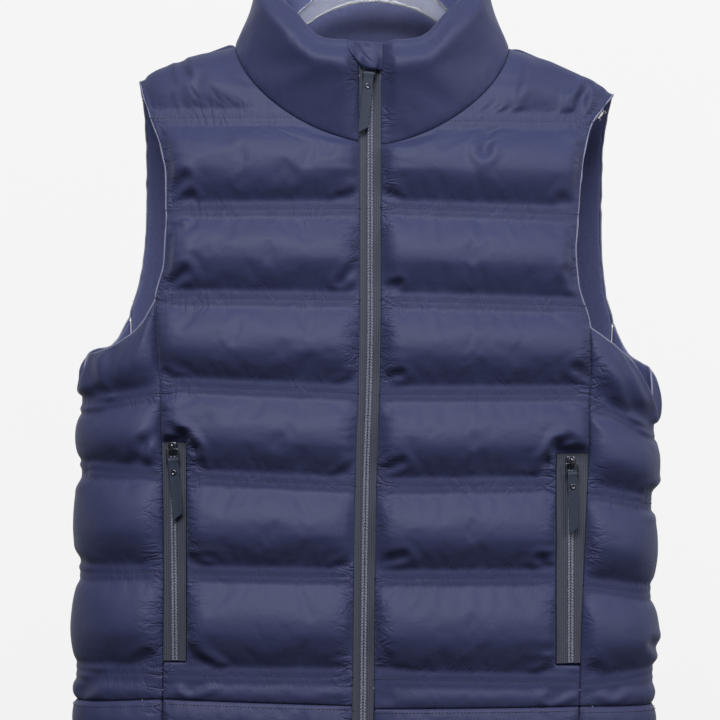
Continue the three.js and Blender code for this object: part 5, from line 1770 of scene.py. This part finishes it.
def hanger_edges():
    """The upper and the lower edge of the hanger, from its right tip to its left."""
    top = [(-x, z) for x, z in HANGER_TOP[:0:-1]] + HANGER_TOP
    radius = HANGER["arch_radius"]
    arch_x = np.linspace(-HANGER["arch_half"], HANGER["arch_half"], 33)
    arch = [(x, HANGER["apex_z"] - radius + math.sqrt(radius * radius - x * x)) for x in arch_x]
    foot = HANGER_FOOT
    bottom = [(-x, z) for x, z in foot[::-1]] + arch + foot
    smooth = lambda line: resampled([(x, 0, z) for x, z in line], 5)
    return smooth(top), smooth(bottom)


class VEST_OT_hanger(bpy.types.Operator):
    """Mould the clear hanger and bend its plated hook"""

    bl_idname = "vest.hanger"
    bl_label = "Hanger"

    def execute(self, context):
        tilt = math.radians(HANGER["tilt"])
        c, q = math.cos(tilt), math.sin(tilt)

        def hung(points):
            x, y, z = np.asarray(points, float).T
            return np.stack([x * c + z * q + HANGER["x"], y, z * c - x * q], axis=-1)

        top, bottom = hanger_edges()
        shares = np.linspace(0, 1, 120)

        def even(line):
            own = np.linspace(0, 1, len(line))
            return np.stack([np.interp(shares, own, line[:, k]) for k in range(3)], axis=-1)

        web, across = HANGER["web"], np.linspace(0, 1, 7)
        rings = []
        for high, low in zip(even(top), even(bottom)):
            line = mix(low, high, across[:, None])
            rings.append(np.vstack([line - (0, web, 0), line[::-1] + (0, web, 0)]))
        parts = [ring_of_points(rings)]
        for edge in (top, bottom):
            parts.append(tube(edge, HANGER["rim"] / 2, 12, False, 5 / HANGER["rim"] * 1.9))
        points, faces = put_together(parts)
        body = new_object("hanger_moulding", hung(points), faces, [material_of("clear")])
        settle(body, "vest", "hanger_plastic", "hanger_body")
        wire, radius = HOOK["wire"], HOOK["radius"]
        line = [(HOOK["x"], 0, HOOK["foot"]), (HOOK["x"], 0, -60), (HOOK["x"] + 2, 0, HOOK["top"])]
        for a in np.radians(np.arange(-50, 206, 5)):
            line.append((radius * math.cos(a), 0, wire - radius + radius * math.sin(a)))
        hook = tube(resampled(line, 2.2), wire, 18)
        collar = [(HOOK["x"], 0, HOOK["foot"] + 1 + k) for k in range(4)]
        ferrule = tube(collar, [3.1, 3.3, 3.3, 2.8], 24)
        piece = new_object("hook_wire", *put_together([hook, ferrule]), [material_of("steel")])
        settle(piece, "vest", "hook_steel", "hanger_hook")
        return {"FINISHED"}


class VEST_OT_finishes(bpy.types.Operator):
    """Give the pieces that keep their solids their finishes"""

    bl_idname = "vest.finishes"
    bl_label = "Finishes"

    def execute(self, context):
        finishes = {
            "zip_tape": "tape",
            "zip_coil": "coil",
            "zip_metal": "gunmetal",
            "pull_strap": "strap",
            "hanger_plastic": "clear",
            "hook_steel": "steel",
            "shell": "shell",
        }
        for part in frame["record"]["subparts"]:
            node = frame["nodes"][part["node"]]
            node.data.materials.clear()
            node.data.materials.append(material_of(finishes[part["material_slot"]]))
        return {"FINISHED"}


class VEST_PT_parts(bpy.types.Panel):
    """The vest's makers, in the order in which they run"""

    bl_label = "Vest"
    bl_space_type = "VIEW_3D"
    bl_region_type = "UI"
    bl_category = "Vest"

    def draw(self, context):
        for operator in OPERATORS:
            self.layout.operator(operator.bl_idname)


OPERATORS = [
    VEST_OT_camera,
    VEST_OT_stage,
    VEST_OT_padded_cloth,
    VEST_OT_binding,
    VEST_OT_stitches,
    VEST_OT_coils,
    VEST_OT_pulls,
    VEST_OT_garage,
    VEST_OT_hanger,
    VEST_OT_finishes,
]
CLASSES = [VestSizes, VestColours, *OPERATORS, VEST_PT_parts]


def register():
    for each in CLASSES:
        bpy.utils.register_class(each)
    bpy.types.Scene.vest_sizes = bpy.props.PointerProperty(type=VestSizes)
    bpy.types.Scene.vest_colours = bpy.props.PointerProperty(type=VestColours)


def unregister():
    del bpy.types.Scene.vest_sizes
    del bpy.types.Scene.vest_colours
    for each in reversed(CLASSES):
        bpy.utils.unregister_class(each)


def main():
    register()
    for each in OPERATORS:
        family, name = each.bl_idname.split(".")
        getattr(getattr(bpy.ops, family), name)()
    plain = lambda bounds: [[float(v) for v in corner] for corner in bounds]
    {"cad": plain(cad_bounds), "visual": plain(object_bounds())}


if __name__ == "__main__":
    main()
